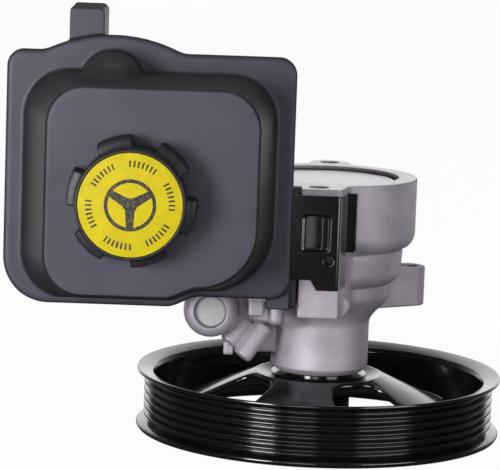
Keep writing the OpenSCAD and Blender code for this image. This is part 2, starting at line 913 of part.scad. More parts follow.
// Hub pressed on the shaft, with a puller groove
module pulley_hub() {
    color("#26262a")
        difference() {
            union() {
                post(hub_r, 0, z_hub_flange);
                post(hub_flange_r, z_hub_flange, z_hub_flange + hub_flange_t);
                post(hub_collar_r, z_hub_flange, hub_top);
            }
            post(shaft_r, -over, hub_top + over);
            ring(hub_r + over, hub_r - puller_groove_d, 4, 4 + puller_groove_w);
        }
}

// Points of a quarter circle, anticlockwise from an angle
function corner(x, z, r, from, n = 8) =
    [for (i = [0 : n]) [x + r * cos(from + 90 * i / n), z + r * sin(from + 90 * i / n)]];

// Points of a box with four round corners, anticlockwise from the right; the lower left may lie deeper
function round_box(left, right, low, left_low, high, tr, tl, bl, br) =
    concat(
        corner(right - tr, high - tr, tr, 0),
        corner(left + tl, high - tl, tl, 90),
        corner(left + bl, left_low + bl, bl, 180),
        corner(right - br, low + br, br, 270));

// Points of the dome that swells out of the flange's upper edge
function dome_arc(n = 16) =
    let (half = acos((tank_z1 - dome_z) / dome_r))
        [for (i = [0 : n])
            let (a = 90 - half + 2 * half * i / n)
                [dome_x + dome_r * cos(a), dome_z + dome_r * sin(a)]];

// Outline of the welded flange: round corners, a dome on top and an S-shaped step below
module tank_outline() {
    polygon(concat(
        corner(tank_x1 - corner_tr, tank_z1 - corner_tr, corner_tr, 0),
        dome_arc(),
        corner(tank_x0 + corner_tl, tank_z1 - corner_tl, corner_tl, 90),
        corner(tank_x0 + corner_bl, tank_low_z + corner_bl, corner_bl, 180),
        [for (i = [0 : 8])
            [step_x + step_w * (i / 8 - 0.5), tank_low_z + tank_step * (1 - cos(180 * i / 8)) / 2]],
        corner(tank_x1 - corner_br, tank_z0 + corner_br, corner_br, 270)));
}

// Outline of the box that stands on the flange, drafted by a depth and grown by a distance
module box_outline(draft, grow) {
    edge = base_round * (1 - draft / tank_draft) + grow;
    low = tank_z0 + box_sill + draft_low * draft - grow;
    polygon(round_box(
        tank_x0 + tank_rim + draft - grow, tank_x1 - tank_rim - draft_right * draft + grow,
        low, low - tank_step, tank_z1 - tank_rim - draft_top * draft + grow,
        panel_tr + edge, panel_tl + edge, panel_bl + edge, panel_br + edge));
}

// Convex shell form between the weld plane and the front panel, drawn in by a wall
module front_box(wall) {
    front = tank_front_y + wall;
    hull() {
        slab(-tank_y - 1, -tank_y)
            box_outline(0, -wall);
        slab(front + box_edge_r, front + box_edge_r + 1)
            box_outline(tank_draft, -wall);
        slab(front + 0.29 * box_edge_r, front + box_edge_r)
            box_outline(tank_draft, -wall - 0.29 * box_edge_r);
        slab(front, front + 1)
            box_outline(tank_draft, -wall - box_edge_r);
    }
}

// Front shell of the reservoir with its blister and filler neck
module reservoir_front() {
    color("#3d3d47")
        difference() {
            union() {
                slab(-tank_y - tank_flange_t, -tank_y)
                    tank_outline();
                front_box(0);
                intersection() {
                    hull() {
                        slab(-tank_y - tank_flange_t, -tank_y)
                            box_outline(0, box_foot_r);
                        slab(-tank_y - box_foot_h, -tank_y)
                            box_outline(tank_draft * box_foot_h / tank_front_d, 0);
                    }
                    slab(-tank_y - box_foot_h - over, -tank_y)
                        tank_outline();
                }
                rod(blister_r, dome_x, blister_z, -tank_y - blister_len, -tank_y);
                intersection() {
                    translate([dome_x, -tank_y - blister_len, blister_z])
                        sphere(r = blister_r);
                    rod(blister_r + over, dome_x, blister_z, tank_front_y, -tank_y - blister_len);
                }
                rod(neck_outer_r, cap_x, cap_z, neck_face_y, tank_front_y + tank_wall);
            }
            front_box(tank_wall);
            slab(-tank_y - over, -tank_y + over)
                box_outline(0, -tank_wall);
            rod(neck_inner_r, cap_x, cap_z, neck_face_y - over, tank_front_y + tank_wall + over);
        }
}

// Outline of the deep part of the rear shell, drawn in by a distance
module rear_outline(inset) {
    low = tank_z0 + 4.5 + inset;
    r = rear_corner;
    polygon(round_box(
        tank_x0 + tank_rim + inset, deep_x1 - inset, low, low, tank_z1 - tank_rim - inset, r, r, r, r));
}

// Convex form of the deep rear shell, drawn in by a wall
module rear_box(wall) {
    back = tank_back_y - wall;
    hull() {
        slab(-tank_y, -tank_y + 1)
            rear_outline(wall);
        slab(back - rear_edge_r, back - 0.29 * rear_edge_r)
            rear_outline(wall + 2);
        slab(back - 1, back)
            rear_outline(wall + 2 + rear_edge_r);
    }
}

// Locating post on top of the rear shell
module top_post() {
    y0 = -tank_y + 2;
    translate([post_x, y0, tank_z1 - 20])
        cube([post_w, post_d, post_rise + 20 - post_corner]);
    translate([post_x + post_corner, y0, tank_z1 - 20])
        cube([post_w - 2 * post_corner, post_d, post_rise + 20]);
    for (x = [post_x + post_corner, post_x + post_w - post_corner])
        rod(post_corner, x, tank_z1 + post_rise - post_corner, y0, y0 + post_d);
}

// Rear shell of the reservoir with its foot, top post and nipples
module reservoir_rear() {
    color("#34343c")
        difference() {
            union() {
                slab(-tank_y, -tank_y + tank_flange_t)
                    tank_outline();
                rear_box(0);
                translate([deep_x1 - 14, -tank_y + 1, tank_z0 + 6])
                    cube([foot_x1 - deep_x1 + 8, shallow_y + tank_y - 1, tank_h - 20]);
                slab(-tank_y + 1, -pad_y)
                    polygon([
                        [foot_x0, z_foot_top], [foot_x0, z_notch], [notch_x, z_notch], [notch_x, z_foot],
                        [foot_x1, z_foot], [foot_x1, z_foot_top]]);
                top_post();
                rod(suction_r, suction_x, suction_z, -pad_y - over, -pad_y + suction_len);
                rod(return_r, return_x, return_z, tank_back_y - tank_wall, tank_back_y + return_len);
                rod(return_r + 1.2, return_x, return_z,
                    tank_back_y + return_len - 5, tank_back_y + return_len - 3);
            }
            rear_box(tank_wall);
            slab(-tank_y - over, -tank_y + over)
                rear_outline(tank_wall);
            translate([deep_x1 - 14, -tank_y - over, tank_z0 + 6 + tank_wall])
                cube([tank_x1 - tank_rim - tank_wall - deep_x1 + 14,
                    shallow_y + tank_y - tank_wall + over, tank_h - 20 - 2 * tank_wall]);
            clip_rebate();
            rod(suction_r - 2, suction_x, suction_z, -tank_y, -pad_y + suction_len + over);
            suction_groove();
            rod(return_r - 1.6, return_x, return_z,
                tank_back_y - 2 * tank_wall, tank_back_y + return_len + over);
        }
}

// Rebates in the foot where the two clips lie
module clip_rebate() {
    height = z_foot_top - z_foot + 2 * over;
    translate([foot_x1 - clip_lap, -tank_y + tank_flange_t, z_foot - over])
        cube([clip_lap + over, tank_y - tank_flange_t - column_y, height]);
    translate([tank_x1, -tank_y - over, z_foot - over])
        cube([foot_x1 - tank_x1 + over, tank_y + over - column_y, height]);
    translate([foot_x0 - over, shallow_y, z_foot - over])
        cube([clip_lip + over, -pad_y - ledge_t - shallow_y, height]);
}

// Groove for the O-ring round the suction nipple
module suction_groove() {
    difference() {
        rod(suction_r + over, suction_x, suction_z, -pad_y + 1.6, -pad_y + 3.8);
        rod(suction_r - 1.1, suction_x, suction_z, -pad_y + 1.5, -pad_y + 3.9);
    }
}

// Seal round the suction nipple
module suction_o_ring() {
    color("#1d1d1f")
        lay_along_y(suction_x, -pad_y + 2.7, suction_z)
            torus(suction_r - 0.55, 0.5, 0);
}

// Screw cap with grip lobes round a plain face
module filler_cap() {
    color("#2c2c33")
        lay_along_y(cap_x, cap_front_y, cap_z)
            difference() {
                union() {
                    rotate_extrude()
                        polygon([
                            [0, 0.6], [cap_face_r - 1.2, 0.6], [cap_face_r - 1.2, 0], [cap_face_r - 0.6, 0],
                            [cap_face_r, 0.8], [cap_face_r, cap_h], [0, cap_h]]);
                    intersection() {
                        rotate_extrude()
                            polygon([
                                [cap_face_r - 2, cap_h - cap_grip_h], [cap_grip_r - 1.2, cap_h - cap_grip_h],
                                [cap_grip_r, cap_h - cap_grip_h + 1.5], [cap_grip_r, cap_h],
                                [cap_face_r - 2, cap_h]]);
                        for (i = [0 : cap_lobes - 1])
                            rotate([0, 0, 360 * i / cap_lobes - cap_turn])
                                linear_extrude(cap_h)
                                    polygon([
                                        [0, 0], polar(2 * cap_grip_r, -cap_lobe_arc / 2),
                                        polar(2 * cap_grip_r, cap_lobe_arc / 2)]);
                    }
                }
                post(neck_outer_r + free_gap, cap_face_t + seal_t + stick_head_t - 0.8, cap_h + over);
                post(neck_outer_r - 1, cap_face_t, cap_h);
            }
}

// Round printed label on the cap
module cap_label() {
    color("#e8d51c")
        rod(cap_label_r, cap_x, cap_z, cap_front_y + 0.6 - label_t, cap_front_y + 0.6);
}

// Flat seal that the cap presses on the filler neck
module cap_seal() {
    color("#1d1d1f")
        lay_along_y(cap_x, neck_face_y - free_gap - seal_t, cap_z)
            ring(neck_outer_r - 1.4, neck_inner_r - 2, 0, seal_t);
}

// Dipstick that hangs from the cap into the reservoir
module dipstick() {
    color("#4a4a52")
        lay_along_y(cap_x, stick_head_y, cap_z) {
            post(neck_inner_r - 2.2, 0, stick_head_t);
            translate([-stick_w / 2, -stick_t / 2, 0])
                cube([stick_w, stick_t, dipstick_len]);
        }
}

// Spring steel channel over the front column and the foot's right edge
module clip_right() {
    x0 = foot_x1 - clip_lap + free_gap;
    y1 = -column_y;
    y0 = y1 - clip_t;
    side_y = y1 + clip_side_d;
    side_x = column_x1 + seat_gap;
    ear_x = side_x + side_slope * clip_side_d;
    ear_z = clip_z0 + clip_ear[1];
    color("#161618")
        difference() {
            union() {
                slab(y0, y1)
                    polygon([
                        [x0, clip_z0 + clip_foot[2]], [x0 + clip_foot[0], clip_z0 + clip_foot[2]],
                        [x0 + clip_foot[1], clip_z0], [side_x + clip_t, clip_z0],
                        [side_x + clip_t, clip_z1], [x0, clip_z1]]);
                translate([0, 0, clip_z0])
                    linear_extrude(clip_h)
                        polygon([
                            [side_x, y0], [side_x + clip_t, y0], [side_x + clip_t, y1],
                            [side_x + clip_t + side_slope * clip_side_d, side_y],
                            [side_x + side_slope * clip_side_d, side_y], [side_x, y1]]);
                slab(side_y - clip_t, side_y)
                    polygon(concat(
                        [[ear_x, clip_z1], [ear_x, ear_z]],
                        corner(ear_x + clip_ear[0] - clip_ear[2], ear_z + clip_ear[2], clip_ear[2], 270),
                        [[ear_x + clip_ear[0], clip_z1]]));
            }
            slab(y0 - over, y1 + over)
                translate([x0 + clip_window[0], clip_z0 + clip_window[1]])
                    square([clip_window[2], clip_window[3]]);
            rod(clip_hole[2], x0 + clip_hole[0], clip_z0 + clip_hole[1], y0 - over, y1 + over);
        }
}

// Spring steel channel that hooks the foot's ledge to the left guide rail
module clip_left() {
    x0 = pad_left_x - clip_t - seat_gap;
    y0 = -pad_y - ledge_t - clip_t - seat_gap;
    y1 = -pad_y + hook_d;
    color("#161618")
        translate([0, 0, clip_z0]) {
            translate([x0, y0, 0])
                cube([clip_t, y1 + clip_t - y0, clip_h]);
            translate([x0, y0, 0])
                cube([clip_lip, clip_t, clip_h]);
            translate([x0, y1, 0])
                cube([clip_t + clip_hook, clip_t, clip_h]);
        }
}

pump_housing();
end_cover();
end_cover_ring();
end_cover_o_ring();
pressure_plate();
pressure_plate_spring();
cam_ring();
thrust_plate();
dowel_pins();
shaft_bushing();
shaft_seal();
valve_plug();
valve_plug_ring();
flow_valve_spool();
flow_valve_spring();
outlet_union();
outlet_union_o_ring();
drive_shaft();
rotor();
rotor_ring();
for (i = [1 : vane_count])
    vane(i);
pulley();
pulley_hub();
reservoir_front();
reservoir_rear();
suction_o_ring();
filler_cap();
cap_label();
cap_seal();
dipstick();
clip_right();
clip_left();
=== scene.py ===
"""Looks of a power steering pump: smooth shells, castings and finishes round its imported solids."""

import json
import math

import bmesh
import bpy
import numpy as np
from mathutils import Matrix, Vector


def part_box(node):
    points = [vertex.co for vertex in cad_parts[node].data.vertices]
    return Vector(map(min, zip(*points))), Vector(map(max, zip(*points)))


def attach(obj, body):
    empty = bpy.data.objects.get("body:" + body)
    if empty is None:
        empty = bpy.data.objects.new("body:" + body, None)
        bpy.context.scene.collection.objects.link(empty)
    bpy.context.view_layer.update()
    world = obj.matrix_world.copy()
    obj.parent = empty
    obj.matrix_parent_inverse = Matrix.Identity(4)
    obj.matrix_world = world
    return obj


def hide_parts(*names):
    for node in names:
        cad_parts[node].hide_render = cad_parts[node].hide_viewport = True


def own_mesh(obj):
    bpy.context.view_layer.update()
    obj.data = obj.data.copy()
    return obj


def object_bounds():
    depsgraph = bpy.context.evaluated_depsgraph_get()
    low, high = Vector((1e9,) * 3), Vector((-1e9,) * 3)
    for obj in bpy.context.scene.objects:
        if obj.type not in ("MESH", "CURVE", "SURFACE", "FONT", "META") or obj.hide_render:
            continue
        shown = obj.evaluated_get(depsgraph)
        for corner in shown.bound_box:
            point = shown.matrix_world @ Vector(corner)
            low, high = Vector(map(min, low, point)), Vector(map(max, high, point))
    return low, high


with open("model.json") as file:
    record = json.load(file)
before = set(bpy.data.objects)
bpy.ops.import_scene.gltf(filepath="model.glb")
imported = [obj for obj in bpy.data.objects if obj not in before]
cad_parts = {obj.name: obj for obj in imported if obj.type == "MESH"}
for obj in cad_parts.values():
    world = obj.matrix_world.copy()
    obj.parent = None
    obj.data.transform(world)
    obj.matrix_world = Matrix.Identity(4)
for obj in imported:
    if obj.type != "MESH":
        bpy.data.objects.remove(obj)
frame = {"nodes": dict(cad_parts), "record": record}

bl_info = {
    "name": "Power steering pump",
    "version": (1, 0, 0),
    "blender": (4, 5, 0),
    "location": "View3D > Sidebar > Pump",
    "description": "Builds the looks of a vane pump with its reservoir, filler cap and belt pulley",
    "category": "Object",
}

MM = 0.001
CAD_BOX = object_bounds()
BOX = {node: tuple(np.array(corner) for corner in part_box(node)) for node in frame["nodes"]}

# How far rays from the cap axis are followed, and how often their span is halved
RAY_END = 0.14
RAY_HALVINGS = 36

# The most of an edge that the arc at its corner takes
CORNER_SHARE = 0.48

# Places that the frame gives
HOUSING_LOW, HOUSING_HIGH = BOX["pump_housing"]
TANK_LOW, TANK_HIGH = BOX["reservoir_front"]
REAR_HIGH = BOX["reservoir_rear"][1]
CAP_LOW, CAP_HIGH = BOX["filler_cap"]
PULLEY_HIGH = BOX["pulley"][1]
HUB_HIGH = BOX["pulley_hub"][1]
CLIP_LOW, CLIP_HIGH = BOX["clip_right"]
PLUG_LOW, PLUG_HIGH = BOX["valve_plug"]
LABEL_LOW, LABEL_HIGH = BOX["cap_label"]
TOP_Z = HOUSING_HIGH[2]
WELD_Y = TANK_HIGH[1]
CAP_X = (CAP_LOW[0] + CAP_HIGH[0]) / 2
CAP_Z = (CAP_LOW[2] + CAP_HIGH[2]) / 2
LABEL_R = (LABEL_HIGH[0] - LABEL_LOW[0]) / 2
VALVE_X = (PLUG_LOW[0] + PLUG_HIGH[0]) / 2
VALVE_Z = (PLUG_LOW[2] + PLUG_HIGH[2]) / 2
VALVE_R = (PLUG_HIGH[0] - PLUG_LOW[0]) / 2
SUCTION = sum(BOX["suction_o_ring"]) / 2
MOUNTS = {mount["name"]: np.array(mount["pos_m"]) for mount in frame["record"]["mounts"]}


def length(name, text, millimetres):
    """A length that is given in millimetres and kept in metres."""
    return bpy.props.FloatProperty(
        name=name, description=text, default=millimetres * MM, unit="LENGTH", precision=5)


def angle(name, text, degrees):
    """An angle that is given in degrees and kept in radians."""
    return bpy.props.FloatProperty(
        name=name, description=text, default=math.radians(degrees), subtype="ANGLE")


def colour(name, text, rgb):
    """A colour as three linear shares."""
    return bpy.props.FloatVectorProperty(
        name=name, description=text, default=rgb, size=3, min=0, max=1, subtype="COLOR")


class PumpTankSizes(bpy.types.PropertyGroup):
    """Sizes of the moulded reservoir."""

    flange_t: length("Flange thickness", "Thickness of each welded flange", 3.4)
    flange_edge: length("Flange edge", "Height of the bevel at the flange's rim", 1.4)
    flange_bevel: length("Flange bevel", "Width of the bevel at the flange's rim", 2.4)
    wall: length("Wall", "Wall thickness of the shells", 3)
    depth: length("Depth", "Depth of the front shell in front of the weld", 45)
    rim_left: length("Left rim", "Width of the flange left of the box", 8)
    rim_right: length("Right rim", "Width of the flange right of the box", 8)
    rim_top: length("Top rim", "Width of the flange above the box", 8)
    rim_low: length("Lower rim", "Width of the flange below the box", 3.2)
    draft_left: length("Left draft", "Lean of the left wall over the depth", 11.6)
    draft_right: length("Right draft", "Lean of the right wall over the depth", 6.4)
    draft_top: length("Top draft", "Lean of the top wall over the depth", 2.3)
    draft_low: length("Lower draft", "Lean of the lower wall over the depth", 7.1)
    corner_tl: length("Upper left corner", "Radius of the panel's upper left corner", 15)
    corner_tr: length("Upper right corner", "Radius of the panel's upper right corner", 16)
    corner_br: length("Lower right corner", "Radius of the panel's lower right corner", 24)
    corner_bl: length("Lower left corner", "Radius of the panel's lower left corner", 16)
    foot: length("Foot fillet", "Radius of the fillet at the box's foot", 1.8)
    panel_edge: length("Panel edge", "Rounding of the front panel's edge", 0.7)
    ledge_h: length("Ledge height", "Height of the front panel above the ledge round it", 1.4)
    ledge_w: length("Ledge width", "Width of the ledge round the front panel", 0.4)
    dome_r: length("Dome radius", "Radius of the dome on top of the flange", 62.8)
    dome_rise: length("Dome rise", "Height of the dome above the flange", 6.9)
    dome_x: length("Dome place", "Distance of the dome's peak from the flange's left edge", 44.1)
    step: length("Step", "Step between the flange's lower left and lower right edge", 4.6)
    blister_r: length("Blister radius", "Radius of the blister on the top wall", 13.3)
    blister_len: length("Blister length", "Length of the blister before its round end", 12)
    neck_r: length("Neck radius", "Outer radius of the filler neck", 18.2)
    bore_r: length("Neck bore", "Inner radius of the filler neck", 15.4)


class PumpCapSizes(bpy.types.PropertyGroup):
    """Sizes of the filler cap."""

    face_r: length("Face radius", "Radius of the cap's round face", 22.3)
    grip_r: length("Grip radius", "Radius over the grip lobes", 26.5)
    grip_h: length("Grip height", "Height of the grip lobes", 12)
    lobes: bpy.props.IntProperty(name="Lobes", description="Number of grip lobes", default=6)
    lobe_arc: angle("Lobe arc", "Angle that one grip lobe spans", 34)
    turn: angle("Turn", "Direction of the first lobe", 47.5)


class PumpPulleySizes(bpy.types.PropertyGroup):
    """Sizes of the belt pulley."""

    grooves: bpy.props.IntProperty(name="Grooves", description="Number of belt grooves", default=6)
    pitch: length("Groove pitch", "Distance between belt grooves", 3.56)
    depth: length("Groove depth", "Depth of a belt groove", 2.7)
    flange_rise: length("Flange rise", "Height of the flanges above the ridges", 3.3)
    rim_wall: length("Rim wall", "Thickness of the rim under the grooves", 2)
    web_t: length("Web", "Thickness of the conical web", 3)
    web_slope: angle("Web slope", "Slope of the web", 23.5)
    web_foot: length("Web foot", "Height of the web where it meets the rim", 6.7)
    crown_r: length("Web crown", "Radius of the web's highest ring", 27.6)
    dish: bpy.props.FloatProperty(name="Dish", description="Fall of the web inside its crown", default=0.45)
    seat_r: length("Hub seat", "Outer radius of the hub seat", 21.1)
    window_in: length("Window, inner", "Radius of the windows' inner edge", 29)
    window_out: length("Window, outer", "Radius of the windows' outer edge", 58)
    window_arc: angle("Window arc", "Angle that one window spans", 42)
    window_corner: length("Window corner", "Corner radius of a window", 8)
    window_turn: angle("Window turn", "Direction of the first window", 30)


class PumpHousingSizes(bpy.types.PropertyGroup):
    """Sizes of the cast housing."""

    pad_y: length("Pad face", "Depth of the face that carries the reservoir", -43.5)
    pad_left: length("Pad edge", "Left edge of the reservoir pad", -32)
    column_y: length("Column face", "Depth of the front column's face", -52.6)
    column_left: length("Column, left", "Reach of the column left of its bolt", 7.5)
    column_right: length("Column, right", "Reach of the column right of its bolt", 9.6)
    column_h: length("Column height", "Height of the front column", 55.3)
    boss_y: length("Boss face", "Depth of the valve boss's face", -35)
    boss_r: length("Boss radius", "Radius of the valve boss", 11.6)
    lug_r: length("Lug radius", "Radius of the rear lug", 9)
    lug_h: length("Lug height", "Height of the rear lug", 15)
    ear_r: length("Ear radius", "Radius of the ear", 7.3)
    ear_h: length("Ear height", "Height of the ear", 17.5)
    bolt_r: length("Bolt holes", "Radius of the bolt holes", 4.2)
    cavity_r: length("Cavity", "Radius of the pump cavity", 31.8)
    ring_r: length("Ring groove", "Radius of the groove for the cover's ring", 33.3)
    shaft_r: length("Shaft passage", "Radius of the passage round the shaft", 9.75)
    seal_r: length("Seal seat", "Radius of the shaft seal's seat", 15)
    seal_h: length("Seal depth", "Depth of the shaft seal's seat", 9)
    bushing_r: length("Bushing seat", "Radius of the bushing's seat", 11.5)
    bushing_z: length("Bushing height", "Height of the bushing's seat above the housing's foot", 12)


class PumpClipSizes(bpy.types.PropertyGroup):
    """Sizes of the right clip, measured from its lower left corner."""

    steel: length("Steel", "Thickness of the clip steel", 1.2)
    leg: length("Leg", "Depth of the side leg", 12)
    lean: length("Lean", "Sideways lean of the side leg over its depth", 2.98)
    ear_w: length("Ear width", "Width of the ear", 4)
    ear_z: length("Ear height", "Height of the ear's lower edge", 15.2)
    notch_x: length("Notch place", "Place of the notch in the lower edge", 8.9)
    notch_w: length("Notch width", "Width of the notch's slanted edge", 2.6)
    notch_h: length("Notch height", "Height of the notch", 4.4)
    frame_x: length("Frame place", "Place of the pressed frame", 4.6)
    frame_z: length("Frame height", "Height of the pressed frame's lower edge", 16.4)
    frame_w: length("Frame width", "Width of the pressed frame", 12.3)
    frame_h: length("Frame length", "Length of the pressed frame", 16.3)
    press: length("Press", "Depth of the pressed frame", 0.5)
    window_x: length("Window place", "Place of the window", 6.9)
    window_z: length("Window height", "Height of the window's lower edge", 18.1)
    window_w: length("Window width", "Width of the window", 5.9)
    window_h: length("Window length", "Length of the window", 13.5)
    hole_x: length("Hole place", "Place of the hole", 16.3)
    hole_z: length("Hole height", "Height of the hole", 13.1)
    hole_r: length("Hole radius", "Radius of the hole", 2.1)


class PumpColours(bpy.types.PropertyGroup):
    """Colours of the finishes."""

    tank: colour("Tank plastic", "Satin faces of the reservoir", (0.067, 0.062, 0.093))
    # Partly the walls' smoother finish, partly painted shade on them.
    tank_wall: colour("Tank wall", "Smooth side walls of the reservoir", (0.026, 0.023, 0.027))
    cap: colour("Cap plastic", "Plastic of the filler cap", (0.022, 0.02, 0.025))
    label: colour("Label", "Ground of the round label", (0.66, 0.535, 0.008))
    print_ink: colour("Print", "Print on the label", (0.045, 0.042, 0.05))
    casting: colour("Casting", "Cast aluminium", (0.59, 0.537, 0.615))
    machined: colour("Machined", "Machined aluminium", (0.86, 0.83, 0.86))
    paint: colour("Paint", "Black paint of the pulley", (0.006, 0.005, 0.006))
    clip: colour("Clip", "Black steel of the clips", (0.005, 0.004, 0.005))
    steel: colour("Steel", "Bare steel", (0.42, 0.42, 0.44))
    rubber: colour("Rubber", "Rubber of the seals", (0.016, 0.016, 0.017))
    bronze: colour("Bronze", "Bronze of the bushing", (0.38, 0.24, 0.10))
    floor: colour("Floor", "Pale floor", (0.92, 0.92, 0.92))


# Fields: signed distances that are negative inside a shape

def blend_min(a, b, k):
    """Union of two fields with a fillet of width k: the smaller one, lowered where they are alike."""
    h = np.maximum(k - np.abs(a - b), 0) / k
    return np.minimum(a, b) - h * h * k / 4


def blend_max(a, b, k):
    """Common part of two fields with an edge rounded over a width k."""
    return -blend_min(-a, -b, k)


def smooth_step(t):
    """Rise from 0 to 1 with level ends."""
    t = np.clip(t, 0, 1)
    return t * t * (3 - 2 * t)


def rounded_rectangle(x, z, left, right, low, high, tr, tl, bl, br):
    """Distance to a rectangle with four corner radii: to the box drawn in by a radius, less that radius."""
    px, pz = x - (left + right) / 2, z - (low + high) / 2
    r = np.where(px > 0, np.where(pz > 0, tr, br), np.where(pz > 0, tl, bl))
    qx = np.abs(px) - (right - left) / 2 + r
    qz = np.abs(pz) - (high - low) / 2 + r
    return np.minimum(np.maximum(qx, qz), 0) + np.hypot(np.maximum(qx, 0), np.maximum(qz, 0)) - r


def block(here, low, high, r):
    """Distance to a box between two corners, with its edges rounded by r."""
    centre = [(a + b) / 2 for a, b in zip(low, high)]
    half = [(b - a) / 2 - r for a, b in zip(low, high)]
    q = [np.abs(p - c) - h for p, c, h in zip(here, centre, half)]
    outside = np.sqrt(sum(np.maximum(k, 0) ** 2 for k in q))
    return outside + np.minimum(np.maximum(np.maximum(q[0], q[1]), q[2]), 0) - r


def upright(here, at, r, low, high, k):
    """Distance to a cylinder along Z between two heights, its edges rounded over k."""
    x, y, z = here
    ends = np.abs(z - (low + high) / 2) - (high - low) / 2
    return blend_max(np.hypot(x - at[0], y - at[1]) - r, ends, k)


def lying(here, at, r, front, back, k):
    """Distance to a cylinder along Y between two depths, its edges rounded over k."""
    x, y, z = here
    return upright((x, z, y), at, r, front, back, k)


def beside(here, a, d, t):
    """Distance from the point that lies t times d away from a."""
    return np.sqrt(sum((p - q - t * e) ** 2 for p, q, e in zip(here, a, d)))


def bar(here, a, b, ra, rb):
    """Distance to a round bar from a to b whose radius runs from ra to rb."""
    d = np.subtract(b, a)
    t = np.clip(sum((p - q) * e for p, q, e in zip(here, a, d)) / (d @ d), 0, 1)
    return beside(here, a, d, t) - ra - t * (rb - ra)


def stub(here, a, b, r, k):
    """Distance to a round bar of radius r with flat ends at a and b, its edges rounded over k."""
    d = np.subtract(b, a)
    size = np.linalg.norm(d)
    d = d / size
    t = sum((p - q) * e for p, q, e in zip(here, a, d))
    return blend_max(beside(here, a, d, t) - r, np.abs(t - size / 2) - size / 2, k)


# Meshes

def make_object(name, points, faces, body, nodes, slot, normals=None, sharp=35):
    """A mesh object in the frame that rides on a body, stands for CAD nodes and takes its slot's finish."""
    mesh = bpy.data.meshes.new(name)
    mesh.from_pydata(np.asarray(points, float).tolist(), [], np.asarray(faces).tolist())
    if normals is None:
        close_poles(mesh)
    mesh.polygons.foreach_set("use_smooth", np.ones(len(mesh.polygons), bool))
    if normals is not None:
        mesh.normals_split_custom_set_from_vertices(normals.tolist())
    else:
        mesh.set_sharp_from_angle(angle=math.radians(sharp))
    mesh.materials.append(finishes()[slot])
    mesh.validate()
    thing = bpy.data.objects.new(name, mesh)
    bpy.context.scene.collection.objects.link(thing)
    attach(thing, body)
    if nodes:
        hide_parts(*nodes)
    return thing


def close_poles(mesh):
    """Points that lie on each other become one, so that a ring of no radius closes a surface."""
    work = bmesh.new()
    work.from_mesh(mesh)
    bmesh.ops.remove_doubles(work, verts=work.verts, dist=1e-7)
    work.to_mesh(mesh)
    work.free()


def loop_faces(rings, count, closed):
    """Quads between neighbouring rings of a grid; a closed grid joins its last ring to its first."""
    last = rings if closed else rings - 1
    i, j = np.meshgrid(np.arange(last), np.arange(count), indexing="ij")
    up, on = (i + 1) % rings, (j + 1) % count
    return np.stack([i * count + j, i * count + on, up * count + on, up * count + j], -1).reshape(-1, 4)


def outward(points, faces):
    """The faces turned so that the closed shape's volume is positive."""
    a, b, c, d = (points[faces[:, k]] for k in range(4))
    volume = (a * (np.cross(b, c) + np.cross(c, d))).sum()
    return faces if volume > 0 else faces[:, ::-1]


def ring_surface(rings):
    """A closed surface through rings of points that follow each other and come back to the first."""
    rings = np.array(rings)
    points = rings.reshape(-1, 3)
    return points, outward(points, loop_faces(rings.shape[0], rings.shape[1], True))


def turned(profile, count, centre=(0, 0), along="z"):
    """A closed profile of radii and heights carried round an axis along Z or Y."""
    profile = np.asarray(profile)
    a = np.linspace(0, 2 * np.pi, count, endpoint=False)
    u = profile[:, :1] * np.cos(a)
    v = profile[:, :1] * np.sin(a)
    w = np.repeat(profile[:, 1:], count, axis=1)
    rings = [u + centre[0], v + centre[1], w] if along == "z" else [u + centre[0], w, v + centre[1]]
    return ring_surface(np.stack(rings, -1))


def rounded_profile(corners, n=5):
    """A closed outline with each corner (a, b, radius) replaced by an arc of that radius."""
    corners = np.asarray(corners, float)
    out = []
    for before, here, after in zip(np.roll(corners, 1, 0), corners, np.roll(corners, -1, 0)):
        p, r = here[:2], here[2]
        u, v = before[:2] - p, after[:2] - p
        lu, lv = np.linalg.norm(u), np.linalg.norm(v)
        u, v = u / lu, v / lv
        half = math.acos(np.clip(u @ v, -1, 1)) / 2
        if r <= 0 or abs(math.cos(half)) < 1e-4:
            out.append(p[None])
            continue
        reach = min(r / math.tan(half), CORNER_SHARE * lu, CORNER_SHARE * lv)
        r = reach * math.tan(half)
        middle = p + (u + v) / np.linalg.norm(u + v) * r / math.sin(half)
        a, b = p + u * reach - middle, p + v * reach - middle
        turn = math.atan2(a[0] * b[1] - a[1] * b[0], a @ b) * np.linspace(0, 1, n)
        out.append(middle + np.stack(
            [a[0] * np.cos(turn) - a[1] * np.sin(turn), a[0] * np.sin(turn) + a[1] * np.cos(turn)], -1))
    return np.concatenate(out)


